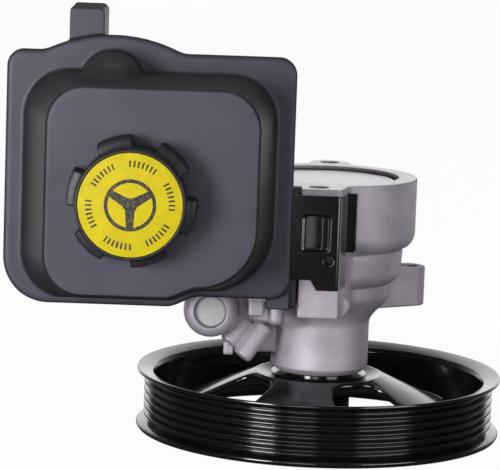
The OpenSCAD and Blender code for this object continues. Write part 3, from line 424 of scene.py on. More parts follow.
def skin_of(field, low, high, step):
    """Skin of a solid from its field, for shapes that branch and have no single grid.

    The space is cut into cells. Each cell that the surface crosses gets one point, the mean of the
    crossings on its edges, which is then moved along the field's slope onto the surface. Each cell
    edge that the surface crosses gives one quad between the four cells round it.
    """
    axes = [np.arange(a - 1.5 * step, b + 2.5 * step, step) for a, b in zip(low, high)]
    value = field(*np.meshgrid(*axes, indexing="ij"))
    inside = value < 0
    corners = [(i, j, k) for i in (0, 1) for j in (0, 1) for k in (0, 1)]
    cells = tuple(n - 1 for n in value.shape)

    def at(grid, c):
        return grid[c[0]:c[0] + cells[0], c[1]:c[1] + cells[1], c[2]:c[2] + cells[2]]

    count = sum(at(inside, c).astype(np.int8) for c in corners)
    mixed = (count > 0) & (count < 8)
    base = np.argwhere(mixed)
    number = np.full(cells, -1)
    number[mixed] = np.arange(len(base))
    total, hits = np.zeros((len(base), 3)), np.zeros(len(base))
    for c in corners:
        for d in range(3):
            if c[d]:
                continue
            e = tuple(1 if k == d else c[k] for k in range(3))
            va, vb = at(value, c)[mixed], at(value, e)[mixed]
            cross = (va < 0) != (vb < 0)
            t = np.where(cross, va / np.where(cross, va - vb, 1), 0)
            point = np.array(c, float) + t[:, None] * (np.arange(3) == d)
            total += np.where(cross[:, None], point, 0)
            hits += cross
    points = np.array([axis[0] for axis in axes]) + (base + total / hits[:, None]) * step

    quads = []
    for d in range(3):
        u, v = (d + 1) % 3, (d + 2) % 3
        first = np.take(inside, np.arange(inside.shape[d] - 1), axis=d)
        second = np.take(inside, np.arange(1, inside.shape[d]), axis=d)
        edge = np.argwhere(first != second)
        keep = (edge[:, u] > 0) & (edge[:, v] > 0)
        edge = edge[keep]
        out = first[tuple(edge.T)]
        su, sv = (np.arange(3) == u).astype(int), (np.arange(3) == v).astype(int)
        quad = np.stack([number[tuple((edge - s).T)] for s in (0 * su, su, su + sv, sv)], -1)
        quads.append(np.where(out[:, None], quad, quad[:, ::-1]))
    faces = np.concatenate(quads)

    tiny, passes, least = 0.02 * MM, 4, 0.2
    for _ in range(passes):
        slope = field_slope(field, points, tiny)
        size = np.maximum((slope ** 2).sum(1), least)
        move = field(*points.T)[:, None] * slope / size[:, None]
        points = points - np.clip(move, -step / 2, step / 2)
    slope = field_slope(field, points, tiny)
    return points, faces, slope / np.linalg.norm(slope, axis=1)[:, None]


def make_skin(name, field, box, cells, body, nodes, slot):
    step = cells[1] * MM
    points, faces, normals = skin_of(field, *box, step)
    make_object(name, points, faces, body, nodes, slot, normals)


def field_slope(field, points, tiny):
    """Slope of a field at points, from differences along each axis."""
    shifts = np.eye(3) * tiny
    return np.stack([field(*(points + s).T) - field(*(points - s).T) for s in shifts], -1) / (2 * tiny)


def ray_reach(field, angles, level):
    """Distance along rays from the cap axis at which a flat field reaches a level, found by halving."""
    low, high = np.zeros_like(angles), np.full_like(angles, RAY_END)
    for _ in range(RAY_HALVINGS):
        mid = (low + high) / 2
        inside = field(CAP_X + mid * np.cos(angles), CAP_Z + mid * np.sin(angles)) < level
        low, high = np.where(inside, mid, low), np.where(inside, high, mid)
    return low


# Materials

def start_material(name, **sockets):
    """A material with one Principled shader whose plain values are set on its own sockets."""
    material = bpy.data.materials.new(name)
    material.use_nodes = True
    tree = material.node_tree
    shader = tree.nodes["Principled BSDF"]
    for socket, value in sockets.items():
        shader.inputs[socket.replace("_", " ")].default_value = value
    place = tree.nodes.new("ShaderNodeTexCoord")
    return material, tree, shader, place.outputs["Object"]


def feed(tree, value, shader, socket):
    """Links a value to a shader's socket."""
    tree.links.new(value, shader.inputs[socket])


def split(tree, vector):
    """The X, Y and Z of a vector."""
    node = tree.nodes.new("ShaderNodeSeparateXYZ")
    tree.links.new(vector, node.inputs[0])
    return node.outputs


def noise(tree, place, scale, detail=4.0, roughness=0.55):
    """Noise in object space at a scale per metre."""
    node = tree.nodes.new("ShaderNodeTexNoise")
    node.inputs["Scale"].default_value = scale
    node.inputs["Detail"].default_value = detail
    node.inputs["Roughness"].default_value = roughness
    tree.links.new(place, node.inputs["Vector"])
    return node.outputs["Fac"]


def ramp(tree, value, stops):
    """A colour ramp through (place, colour) stops, with grey levels written as one number."""
    node = tree.nodes.new("ShaderNodeValToRGB")
    elements = node.color_ramp.elements
    while len(elements) < len(stops):
        elements.new(0.5)
    for element, (at, shade) in zip(elements, stops):
        element.position = at
        rgb = shade if isinstance(shade, tuple) else (shade, shade, shade)
        element.color = (*rgb, 1)
    tree.links.new(value, node.inputs["Fac"])
    return node.outputs["Color"]


def shades(tree, pattern, rgb, dark, light, span=(0.3, 0.7)):
    """A colour that runs from a darker to a lighter tint as a pattern rises over a span."""
    return ramp(tree, pattern, [(span[0], tint(rgb, dark)), (span[1], tint(rgb, light))])


def bump(tree, height, strength, distance, shader):
    """Bump of a height pattern, in metres of depth."""
    node = tree.nodes.new("ShaderNodeBump")
    node.inputs["Strength"].default_value = strength
    node.inputs["Distance"].default_value = distance
    tree.links.new(height, node.inputs["Height"])
    feed(tree, node.outputs["Normal"], shader, "Normal")


def maths(tree, operation, a, b=None):
    """A Math node; a number is set on the socket and a socket is linked."""
    node = tree.nodes.new("ShaderNodeMath")
    node.operation = operation
    for socket, value in zip(node.inputs, (a, b)):
        if value is None:
            continue
        if isinstance(value, (int, float)):
            socket.default_value = value
        else:
            tree.links.new(value, socket)
    return node.outputs[0]


def mix_colours(tree, share, a, b):
    """Colour a where the share is 0 and b where it is 1; a fixed colour is set on the socket."""
    node = tree.nodes.new("ShaderNodeMix")
    node.data_type = "RGBA"
    tree.links.new(share, node.inputs[0])
    for socket, value in ((node.inputs[6], a), (node.inputs[7], b)):
        if isinstance(value, tuple):
            socket.default_value = (*value, 1)
        else:
            tree.links.new(value, socket)
    return node.outputs[2]


def tint(rgb, share):
    """A colour made lighter or darker by a share."""
    return tuple(min(1.0, c * share) for c in rgb)


def within(tree, value, low, high):
    """1 where a value lies between two bounds and 0 elsewhere."""
    off = maths(tree, "SUBTRACT", value, float(low + high) / 2)
    return maths(tree, "LESS_THAN", maths(tree, "ABSOLUTE", off), float(high - low) / 2)


def moulded_plastic(name, face, wall, roughness, smooth_y):
    """Moulded plastic: grained satin faces towards the front, darker smoother walls, faint clouds; the
    walls' darker colour is also painted shade on faces turned away from the front.

    Between the two depths smooth_y, faces have the walls' finish too. Faces that look up are duller.
    """
    material, tree, shader, place = start_material(name, Specular_IOR_Level=0.45)
    normal = split(tree, place.node.outputs["Normal"])
    depth = split(tree, place)["Y"]
    # Painted shade: faces turned from the front take the darker wall colour, partly for their smoother
    # finish and partly to stand in for the shade on them.
    facing = maths(tree, "MULTIPLY", normal["Y"], -1.0)
    grained = maths(tree, "SUBTRACT", 1.0, within(tree, depth, *smooth_y))
    satin_and_lit_front = maths(tree, "MULTIPLY", ramp(tree, facing, [(0.72, 0.0), (0.97, 1.0)]), grained)
    clouds = noise(tree, place, 90, 3)
    light = shades(tree, clouds, face, 0.9, 1.08)
    dark = shades(tree, clouds, wall, 0.86, 1.12)
    feed(tree, mix_colours(tree, satin_and_lit_front, dark, light), shader, "Base Color")
    gloss = ramp(tree, noise(tree, place, 400, 2), [(0.3, -0.04), (0.7, 0.05)])
    base = ramp(tree, satin_and_lit_front, [(0.0, roughness - 0.02), (1.0, roughness)])
    dull = ramp(tree, normal["Z"], [(0.6, 0.0), (0.95, 0.38)])
    feed(tree, maths(tree, "ADD", maths(tree, "ADD", base, gloss), dull), shader, "Roughness")
    grain = maths(tree, "MULTIPLY", noise(tree, place, 2600, 2), satin_and_lit_front)
    bump(tree, grain, 0.12, 0.15 * MM, shader)
    return material


def sand_casting(name, rgb, machined):
    """Cast aluminium with a sandy grain: machined and brighter on top, with painted shade behind the right
    clip.
    """
    material, tree, shader, place = start_material(name)
    x, y, z = split(tree, place)
    level = maths(tree, "GREATER_THAN", z, float(TOP_Z) - 0.12 * MM)
    stain = noise(tree, place, 60, 5)
    grain = noise(tree, place, 1500, 5, 0.7)
    mottle = maths(tree, "ADD", maths(tree, "MULTIPLY", stain, 0.5), maths(tree, "MULTIPLY", grain, 0.5))
    rough = shades(tree, mottle, rgb, 0.8, 1.14, (0.38, 0.62))
    cut = shades(tree, stain, machined, 0.9, 1.05)
    # Painted shade: the casting behind the right clip is darkened to stand in for the shadow that falls
    # there.
    painted_shade_behind_clip = maths(tree, "MULTIPLY", within(tree, x, CLIP_LOW[0], CLIP_HIGH[0] - 7 * MM),
                   within(tree, z, CLIP_LOW[2] + 8 * MM, CLIP_HIGH[2] - 3 * MM))
    painted_shade_behind_clip = maths(tree, "MULTIPLY", painted_shade_behind_clip, within(tree, y, CLIP_LOW[1], CLIP_LOW[1] + 6 * MM))
    shade = mix_colours(tree, level, rough, cut)
    feed(tree, mix_colours(tree, painted_shade_behind_clip, shade, tint(rgb, 0.22)), shader, "Base Color")
    speckle = ramp(tree, grain, [(0.3, 0.48), (0.7, 0.62)])
    feed(tree, maths(tree, "SUBTRACT", speckle, maths(tree, "MULTIPLY", level, 0.16)), shader, "Roughness")
    feed(tree, maths(tree, "ADD", maths(tree, "MULTIPLY", level, 0.48), 0.42), shader, "Metallic")
    soft = maths(tree, "SUBTRACT", 1.0, level)
    bump(tree, maths(tree, "MULTIPLY", grain, soft), 0.7, 0.12 * MM, shader)
    return material


def bare_metal(name, rgb, roughness, marks):
    """Machined or ground metal with fine concentric marks round Z and a little stain."""
    material, tree, shader, place = start_material(name, Metallic=1.0)
    rings = tree.nodes.new("ShaderNodeTexWave")
    rings.wave_type = "RINGS"
    rings.rings_direction = "Z"
    rings.inputs["Scale"].default_value = marks
    rings.inputs["Distortion"].default_value = 0.6
    tree.links.new(place, rings.inputs["Vector"])
    stain = noise(tree, place, 120)
    feed(tree, shades(tree, stain, rgb, 0.85, 1.08), shader, "Base Color")
    feed(tree, ramp(tree, stain, [(0.3, roughness - 0.06), (0.7, roughness + 0.06)]), shader, "Roughness")
    bump(tree, rings.outputs["Fac"], 0.1, 0.05 * MM, shader)
    return material


def gloss_black(name, rgb, roughness, peel):
    """Black paint or blackened steel: deep gloss with a faint orange peel and dust in the gloss."""
    material, tree, shader, place = start_material(
        name, Coat_Weight=1.0, Coat_Roughness=0.12, Coat_IOR=1.65, Specular_IOR_Level=0.3)
    dust = noise(tree, place, 220)
    feed(tree, shades(tree, dust, rgb, 0.8, 1.5, (0.3, 0.75)), shader, "Base Color")
    feed(tree, ramp(tree, dust, [(0.3, roughness - 0.04), (0.75, roughness + 0.08)]), shader, "Roughness")
    bump(tree, noise(tree, place, peel, 2), 0.03, 0.1 * MM, shader)
    return material


def rubber(name, rgb):
    """Dull rubber with a fine grain."""
    material, tree, shader, place = start_material(name, Roughness=0.75)
    grain = noise(tree, place, 900, 3)
    feed(tree, shades(tree, grain, rgb, 0.8, 1.3), shader, "Base Color")
    bump(tree, grain, 0.15, 0.1 * MM, shader)
    return material


def printed_label(name, ground, ink):
    """Speckled label print: a three-spoke wheel in a ring, and groups of short bars round the edge."""
    material, tree, shader, place = start_material(name, Roughness=0.55, Specular_IOR_Level=0.2)
    centre = tree.nodes.new("ShaderNodeMapping")
    centre.inputs["Location"].default_value = (-CAP_X, 0, -CAP_Z)
    tree.links.new(place, centre.inputs["Vector"])
    x, _, z = split(tree, centre.outputs["Vector"])

    def both(a, b):
        return maths(tree, "MULTIPLY", a, b)

    def either(a, b):
        return maths(tree, "MAXIMUM", a, b)

    def waves(count, above):
        return maths(tree, "GREATER_THAN", maths(tree, "SINE", both(bearing, count)), above)

    radius = maths(tree, "SQRT", maths(tree, "ADD", both(x, x), both(z, z)))
    bearing = maths(tree, "ARCTAN2", z, x)
    hub, wheel, spoke_end, bars = 2.9 * MM, (8.95 * MM, 10.45 * MM), 9.8 * MM, (15.3 * MM, 17.9 * MM)
    printed = either(within(tree, radius, *wheel), maths(tree, "LESS_THAN", radius, hub))
    for spoke in (30, 150, 270):
        a = math.radians(spoke)
        along = maths(tree, "ADD", both(x, math.cos(a)), both(z, math.sin(a)))
        across = maths(tree, "SUBTRACT", both(z, math.cos(a)), both(x, math.sin(a)))
        width = maths(tree, "SUBTRACT", 2.2 * MM, both(along, 0.09))
        narrow = maths(tree, "LESS_THAN", maths(tree, "ABSOLUTE", across), width)
        printed = either(printed, both(narrow, within(tree, along, 0, spoke_end)))
    groups = both(waves(60.0, 0.15), waves(6.0, -0.55))
    printed = either(printed, both(groups, within(tree, radius, *bars)))

    fleck = noise(tree, place, 2400, 2)
    cloud = noise(tree, place, 160, 3)
    paper = shades(tree, cloud, ground, 0.93, 1.06)
    specks = maths(tree, "GREATER_THAN", fleck, 0.66)
    gaps = maths(tree, "GREATER_THAN", fleck, 0.6)
    worn = both(printed, maths(tree, "SUBTRACT", 1.0, both(gaps, 0.35)))
    share = either(worn, both(specks, 0.3))
    feed(tree, mix_colours(tree, share, paper, tuple(ink)), shader, "Base Color")
    bump(tree, cloud, 0.1, 0.05 * MM, shader)
    return material


def finishes():
    """The finishes by the record's slot names, and one for the plug, made once and shared by all pieces."""
    c = bpy.context.scene.pump_colours
    tank = bpy.context.scene.pump_tank
    walls = (WELD_Y - tank.depth + 1 * MM, WELD_Y - tank.flange_t - 0.4 * MM)
    recipes = {
        # The darker wall colours of tank and cap are partly a smoother finish and partly painted shade.
        "tank_plastic": (moulded_plastic, c.tank, c.tank_wall, 0.48, walls),
        "cap_plastic": (moulded_plastic, c.cap, tint(c.cap, 0.6), 0.44, (0, 1 * MM)),
        "yellow_label": (printed_label, c.label, c.print_ink),
        "cast_aluminium": (sand_casting, c.casting, c.machined),
        "machined_aluminium": (bare_metal, c.machined, 0.34, 900),
        "turned_plug": (bare_metal, tint(c.machined, 0.75), 0.5, 900),
        "spring_steel": (bare_metal, tint(c.steel, 0.6), 0.35, 500),
        "sintered_steel": (bare_metal, tint(c.steel, 0.8), 0.5, 700),
        "ground_steel": (bare_metal, c.steel, 0.25, 1400),
        "plated_steel": (bare_metal, tint(c.steel, 1.2), 0.32, 800),
        "bronze": (bare_metal, c.bronze, 0.35, 900),
        "rubber_seal": (rubber, c.rubber),
        "black_paint": (gloss_black, c.paint, 0.2, 900),
        "black_clip_steel": (gloss_black, c.clip, 0.16, 700),
    }
    ready = {}
    for slot, (maker, *values) in recipes.items():
        name = "finish_" + slot
        ready[slot] = bpy.data.materials.get(name) or maker(name, *values)
    return ready


# Reservoir

def lower_step(x, t):
    """Drop of the lower edge at x: nothing on the right and the full step on the left, through an S."""
    place, width = 0.63, 14 * MM
    middle = TANK_LOW[0] + place * (TANK_HIGH[0] - TANK_LOW[0])
    return t.step * (1 - smooth_step((x - middle) / width + 0.5))


def flange_field(x, z, t):
    """Flat field of the welded flange: a rounded rectangle with a stepped lower edge, joined to a dome."""
    low = TANK_LOW[2] + t.step
    high = TANK_HIGH[2] - t.dome_rise
    share = np.clip((high - z) / (high - low), 0, 1)
    corners = np.array((7.5, 6.5, 19, 8.5)) * MM
    plate = rounded_rectangle(
        x, z + lower_step(x, t) * share, TANK_LOW[0], TANK_HIGH[0], low, high, *corners)
    dome = np.hypot(x - TANK_LOW[0] - t.dome_x, z - TANK_HIGH[2] + t.dome_r) - t.dome_r
    dome_root, fillet = 8 * MM, 1.2 * MM
    return blend_min(plate, np.maximum(dome, high - dome_root - z), fillet)


def box_field(x, z, y, t):
    """Flat field of the box at a depth: a rounded rectangle whose four sides lean in towards the panel."""
    share = np.clip((WELD_Y - t.flange_t - y) / (t.depth - t.flange_t), 0, 1)
    low = TANK_LOW[2] + t.step + t.rim_low + t.draft_low * share
    high = TANK_HIGH[2] - t.dome_rise - t.rim_top - t.draft_top * share
    left = TANK_LOW[0] + t.rim_left + t.draft_left * share
    right = TANK_HIGH[0] - t.rim_right - t.draft_right * share
    corner_growth = 3 * MM
    grow = corner_growth * (1 - share)
    lift = np.clip((high - z) / (high - low), 0, 1)
    return rounded_rectangle(
        x, z + lower_step(x, t) * lift, left, right, low, high,
        t.corner_tr + grow, t.corner_tl + grow, t.corner_bl + grow, t.corner_br + grow)


def wall_field(x, z, y, t):
    """The box at a depth together with the blister: a bar along Y with a round end, at the top wall."""
    end = WELD_Y - t.flange_t - t.blister_len
    beyond = np.maximum(end - y, 0)
    radius = np.sqrt(np.maximum(t.blister_r ** 2 - beyond ** 2, 0))
    drop, fillet = 12.7 * MM, 0.8 * MM
    centre_z = TANK_HIGH[2] - t.dome_rise - drop
    bulge = np.hypot(x - TANK_LOW[0] - t.dome_x, z - centre_z) - radius
    return blend_min(box_field(x, z, y, t), bulge, fillet)


class PUMP_OT_reservoir_front(bpy.types.Operator):
    """Front shell of the reservoir: rings over flange, wall and panel to the neck, and back inside"""

    bl_idname = "pump.reservoir_front"
    bl_label = "Front shell"

    def execute(self, context):
        t = context.scene.pump_tank
        angles = np.linspace(0, 2 * np.pi, 560, endpoint=False)
        quarter = np.linspace(0, np.pi / 2, 7)
        face_y = WELD_Y - t.flange_t
        panel_y = WELD_Y - t.depth
        inner_y = panel_y + t.wall
        neck_y = TANK_LOW[1]
        collar, lip = 1.5 * MM, 0.6 * MM
        rings = []

        def ring(radius, y):
            rings.append(np.stack([CAP_X + radius * np.cos(angles), np.full_like(angles, y),
                                   CAP_Z + radius * np.sin(angles)], -1))

        def flange(level):
            return ray_reach(lambda x, z: flange_field(x, z, t), angles, level)

        def wall(level, y):
            return ray_reach(lambda x, z: wall_field(x, z, y, t), angles, level)

        def across(last, y, steps):
            first = np.hypot(rings[-1][:, 0] - CAP_X, rings[-1][:, 2] - CAP_Z)
            for share in np.linspace(0, 1, steps + 1)[1:]:
                ring(first + (last - first) * share, y)

        ring(flange(0), WELD_Y)
        for a in quarter:
            ring(flange(-t.flange_bevel * (1 - np.cos(a))), face_y + t.flange_edge * (1 - np.sin(a)))
        edge = flange(-t.flange_bevel - 0.3 * MM)
        across(np.minimum(wall(t.foot, face_y), edge), face_y, 6)
        for a in quarter[1:]:
            y = face_y - t.foot * (1 - np.cos(a))
            ring(np.minimum(wall(t.foot * (1 - np.sin(a)), y), edge), y)
        for y in np.linspace(face_y - t.foot, panel_y + t.ledge_h, 26)[1:]:
            ring(wall(0, y), y)
        for a in quarter:
            level = -t.ledge_w - t.panel_edge * (1 - np.cos(a))
            ring(wall(level, panel_y), panel_y + t.panel_edge * (1 - np.sin(a)))
        across(t.neck_r + collar, panel_y, 10)
        for a in quarter[1:]:
            ring(t.neck_r + collar * (1 - np.sin(a)), panel_y - collar * (1 - np.cos(a)))
        for a in quarter:
            ring(t.neck_r - lip * (1 - np.cos(a)), neck_y + lip * (1 - np.sin(a)))
        for a in quarter[::-1]:
            ring(t.bore_r + lip * (1 - np.cos(a)), neck_y + lip * (1 - np.sin(a)))
        ring(t.bore_r, inner_y)
        across(wall(-t.wall - 1 * MM, inner_y), inner_y, 5)
        for y in np.linspace(inner_y + 1 * MM, WELD_Y, 16):
            ring(wall(-t.wall, y), y)
        make_object("reservoir_front_shell", *ring_surface(rings), "housing", ["reservoir_front"],
                    "tank_plastic", sharp=30)
        return {"FINISHED"}


class PUMP_OT_reservoir_rear(bpy.types.Operator):
    """Rear shell of the reservoir: the skin of flange, tub, foot, post and nipples, blended by fillets"""

    bl_idname = "pump.reservoir_rear"
    bl_label = "Rear shell"

    def execute(self, context):
        t = context.scene.pump_tank
        pad_y, column_y = context.scene.pump_housing.pad_y, context.scene.pump_housing.column_y
        back_y, side_y, end_y = -23 * MM, -50 * MM, REAR_HIGH[1]
        post = (TANK_LOW[0] + 25.2 * MM, TANK_LOW[0] + 39.7 * MM)
        foot_right = CLIP_LOW[0] + 3.2 * MM
        foot_left, notch_x = -30.8 * MM, -24.7 * MM
        foot_z = TANK_LOW[2] - 0.4 * MM
        nipple, suction = MOUNTS["return_nipple"][::2], SUCTION[::2]
        right = TANK_HIGH[0] - 33 * MM
        left = TANK_LOW[0] + t.rim_left
        low, high = TANK_LOW[2] + t.step + 4.5 * MM, TANK_HIGH[2] - t.dome_rise - t.rim_top
        corners = [10 * MM] * 4
        room, sharp = 2 * MM, 0.2 * MM

        def field(x, y, z):
            here = (x, y, z)
            plate = np.abs(y - WELD_Y - t.flange_t / 2) - t.flange_t / 2
            plate = blend_max(flange_field(x, z, t), plate, 1.2 * MM)
            lean = 2 * MM * np.clip((y - WELD_Y) / (back_y - WELD_Y), 0, 1)
            tub = rounded_rectangle(x, z, left + lean, right - lean, low + lean, high - lean, *corners)
            tub = blend_max(tub, np.maximum(y - back_y, WELD_Y - y), 5 * MM)
            side = block(here, (right - 14 * MM, WELD_Y + 1 * MM, low + 1.5 * MM),
                         (foot_right - 6 * MM, side_y, high - 12 * MM), 1.5 * MM)
            foot = block(here, (foot_left, WELD_Y + 1 * MM, foot_z),
                         (foot_right, pad_y, TOP_Z - 2 * MM), 0.6 * MM)
            foot = np.maximum(foot, np.minimum(notch_x - x, foot_z + 6 * MM - z))
            top = rounded_rectangle(x, z, *post, high - 6 * MM, REAR_HIGH[2], 2.8 * MM, *[1 * MM] * 3)
            top = blend_max(top, np.abs(y - WELD_Y - 19.5 * MM) - 17.5 * MM, 0.7 * MM)
            spout = lying(here, nipple, 5 * MM, back_y - 3 * MM, end_y, 0.8 * MM)
            barb = lying(here, nipple, 6.2 * MM, end_y - 5 * MM, end_y - 3 * MM, 1 * MM)
            body = plate
            for part, fillet in ((tub, 4), (side, 3), (foot, 1.5), (top, 1), (spout, 3), (barb, 0.5)):
                body = blend_min(body, part, fillet * MM)
            sucker = lying(here, suction, 6.5 * MM, pad_y - 1 * MM, pad_y + 5.5 * MM, 0.4 * MM)
            body = np.minimum(body, sucker)
            inner = rounded_rectangle(
                x, z, left + t.wall, right - t.wall - lean, low + t.wall, high - t.wall, *corners)
            inner = blend_max(inner, y - back_y + t.wall, 4 * MM)
            body = blend_max(body, -inner, 0.6 * MM)
            clip_end = (foot_right + room, column_y, TOP_Z + room)
            right_clip = block(here, (foot_right - 3.5 * MM, WELD_Y + t.flange_t, foot_z - room),
                               clip_end, sharp)
            past_flange = block(here, (TANK_HIGH[0], WELD_Y - room, foot_z - room), clip_end, sharp)
            left_clip = block(here, (foot_left - room, side_y, foot_z - room),
                              (foot_left + 5 * MM, pad_y - room, TOP_Z + room), sharp)
            bore = lying(here, nipple, 3.4 * MM, back_y - 8 * MM, end_y + room, sharp)
            drain = lying(here, suction, 4.5 * MM, WELD_Y + 0.5 * MM, pad_y + 8 * MM, sharp)
            for cut in (right_clip, past_flange, left_clip, bore, drain):
                body = np.maximum(body, -cut)
            return body

        make_skin("reservoir_rear_shell", field, BOX["reservoir_rear"], (1.6, 0.85), "housing",
                  ["reservoir_rear"], "tank_plastic")
        return {"FINISHED"}


# Filler cap

class PUMP_OT_filler_cap(bpy.types.Operator):
    """Filler cap: a turned profile that swells into lobes by angle and depth, and its round label"""

    bl_idname = "pump.filler_cap"
    bl_label = "Filler cap"

    def execute(self, context):
        c = context.scene.pump_cap
        t = context.scene.pump_tank
        front, back = CAP_LOW[1], CAP_HIGH[1]
        angles = np.linspace(0, 2 * np.pi, 720, endpoint=False)
        spread = 2 * np.pi / c.lobes
        off = np.abs((angles - c.turn + spread / 2) % spread - spread / 2)
        edge = math.radians(3.2)
        swell = smooth_step((c.lobe_arc / 2 + edge / 2 - off) / edge)
        shoulder = back - c.grip_h
        outline = rounded_profile([
            (0, front + 0.6 * MM, 0), (c.face_r - 1.25 * MM, front + 0.6 * MM, 0.2 * MM),
            (c.face_r - 1.2 * MM, front, 0.35 * MM), (c.face_r - 0.1 * MM, front, 0.6 * MM),
            (c.face_r, back, 0.5 * MM), (t.neck_r + 0.3 * MM, back, 0.4 * MM),
            (t.neck_r + 0.3 * MM, front + 8 * MM, 0.8 * MM), (t.neck_r - 1 * MM, front + 7 * MM, 0.4 * MM),
            (t.neck_r - 1 * MM, front + 4.2 * MM, 0.8 * MM), (0, front + 4.2 * MM, 0)], 7)
        skirt = np.linspace(front + 1.2 * MM, back - 0.7 * MM, 44)
        on_skirt = (outline[:, 0] > c.face_r - 0.12 * MM) & (outline[:, 1] > front + 0.5 * MM)
        on_skirt = np.flatnonzero(on_skirt)
        cut = on_skirt[np.argmin(np.abs(outline[on_skirt, 1] - front - 0.9 * MM))]
        skirt = np.stack([np.full_like(skirt, c.face_r), skirt], -1)
        outline = np.insert(outline, cut + 1, skirt, axis=0)
        rise = smooth_step((outline[:, 1] - shoulder + 0.2 * MM) / (1.3 * MM))
        rise *= 1 - smooth_step((outline[:, 1] - back + 0.5 * MM) / (0.8 * MM)) * 0.3
        rise *= outline[:, 0] > c.face_r - 0.6 * MM
        rise *= outline[:, 1] > front + 1 * MM
        lean = (outline[:, 1] - shoulder) / c.grip_h * 0.5 * MM
        radius = outline[:, :1] + rise[:, None] * swell * (c.grip_r - 0.5 * MM - c.face_r + lean[:, None])
        rings = np.stack([
            CAP_X + radius * np.cos(angles), np.repeat(outline[:, 1:], len(angles), 1),
            CAP_Z + radius * np.sin(angles)], -1)
        make_object("filler_cap_shell", *ring_surface(rings), "cap", ["filler_cap"],
                    "cap_plastic", sharp=40)
        sticker = rounded_profile([
            (0, LABEL_LOW[1], 0), (LABEL_R, LABEL_LOW[1], 0.15 * MM),
            (LABEL_R, LABEL_HIGH[1], 0), (0, LABEL_HIGH[1], 0)])
        make_object("cap_label_print", *turned(sticker, 192, (CAP_X, CAP_Z), "y"), "cap",
                    ["cap_label"], "yellow_label")
        return {"FINISHED"}


# Pulley

class PUMP_OT_pulley(bpy.types.Operator):
    """Belt pulley: a rounded rim profile turned about the shaft, and the skin of a cone with windows"""

    bl_idname = "pump.pulley"
    bl_label = "Belt pulley"

    def execute(self, context):
        p = context.scene.pump_pulley
        outer, high = PULLEY_HIGH[0], PULLEY_HIGH[2]
        ridge = outer - p.flange_rise
        groove = ridge - p.depth
        bore = groove - p.rim_wall
        side = (high - p.grooves * p.pitch) / 2
        groove_lean = math.radians(20)
        spread = p.depth * math.tan(groove_lean)
        flat, tip = 0.35 * MM, 0.3 * MM
        corners = [(bore, 0.3 * MM, 0.6 * MM), (bore + 1.4 * MM, 0, 0.6 * MM),
                   (outer - 1 * MM, 0, 1.2 * MM), (outer, 1.6 * MM, 0.8 * MM),
                   (outer - 0.4 * MM, 2.4 * MM, 0.5 * MM)]
        for i in range(p.grooves):
            z = side + p.pitch * (i + 0.5)
            corners += [(ridge, z - flat - spread, tip), (groove, z - flat, tip),
                        (groove, z + flat, tip), (ridge, z + flat + spread, tip)]
        corners += [(outer - 0.3 * MM, high - 1.5 * MM, 0.4 * MM), (outer, high - 0.9 * MM, 0.35 * MM),
                    (outer - 0.3 * MM, high, 0.3 * MM), (bore + 1 * MM, high - 2 * MM, 1 * MM),
                    (bore, high - 4 * MM, 1.5 * MM)]
        make_object("pulley_rim", *turned(rounded_profile(corners, 4), 300), "drive", ["pulley"],
                    "black_paint", sharp=50)

        slope = math.tan(p.web_slope)
        seat_z = HUB_HIGH[2] - 4.1 * MM
        hub_hole, seat_lap = 14 * MM, 2 * MM
        ledge_w, ledge_z, ledge_h = 1.2 * MM, 3 * MM, 4.8 * MM
        quarter = np.pi / 2
        reach = bore + 0.6 * MM

        def field(x, y, z):
            r = np.hypot(x, y)
            cone = p.web_foot + (bore - np.maximum(r, p.crown_r)) * slope
            cone = cone - np.maximum(p.crown_r - r, 0) * p.dish
            middle = cone - p.web_t / 2 / math.cos(p.web_slope)
            web = np.abs(z - middle) * math.cos(p.web_slope) - p.web_t / 2
            web = blend_max(web, p.seat_r - r, 0.5 * MM)
            seat = np.maximum(r - p.seat_r - seat_lap, hub_hole - r)
            seat = blend_max(np.abs(z - seat_z + p.web_t / 2) - p.web_t / 2, seat, 0.6 * MM)
            body = blend_min(web, seat, 1.5 * MM)
            body = np.maximum(body, r - reach)
            ledge = blend_max(bore - ledge_w - r, np.abs(z - ledge_z) - ledge_h / 2, 1 * MM)
            body = blend_min(body, np.maximum(ledge, r - reach), 3 * MM)
            turn = (np.arctan2(y, x) - p.window_turn + quarter / 2) % quarter - quarter / 2
            wedge = np.abs(turn) - p.window_arc / 2
            sides = r * np.sin(wedge)
            c = p.window_corner
            hole = blend_max(blend_max(sides, p.window_in - r, c), r - p.window_out, c)
            return blend_max(body, -hole, 1.2 * MM)

        box = ((-reach, -reach, 0), (reach, reach, HUB_HIGH[2]))
        make_skin("pulley_web", field, box, (1.5, 0.9), "drive", [], "black_paint")
        return {"FINISHED"}


# Casting

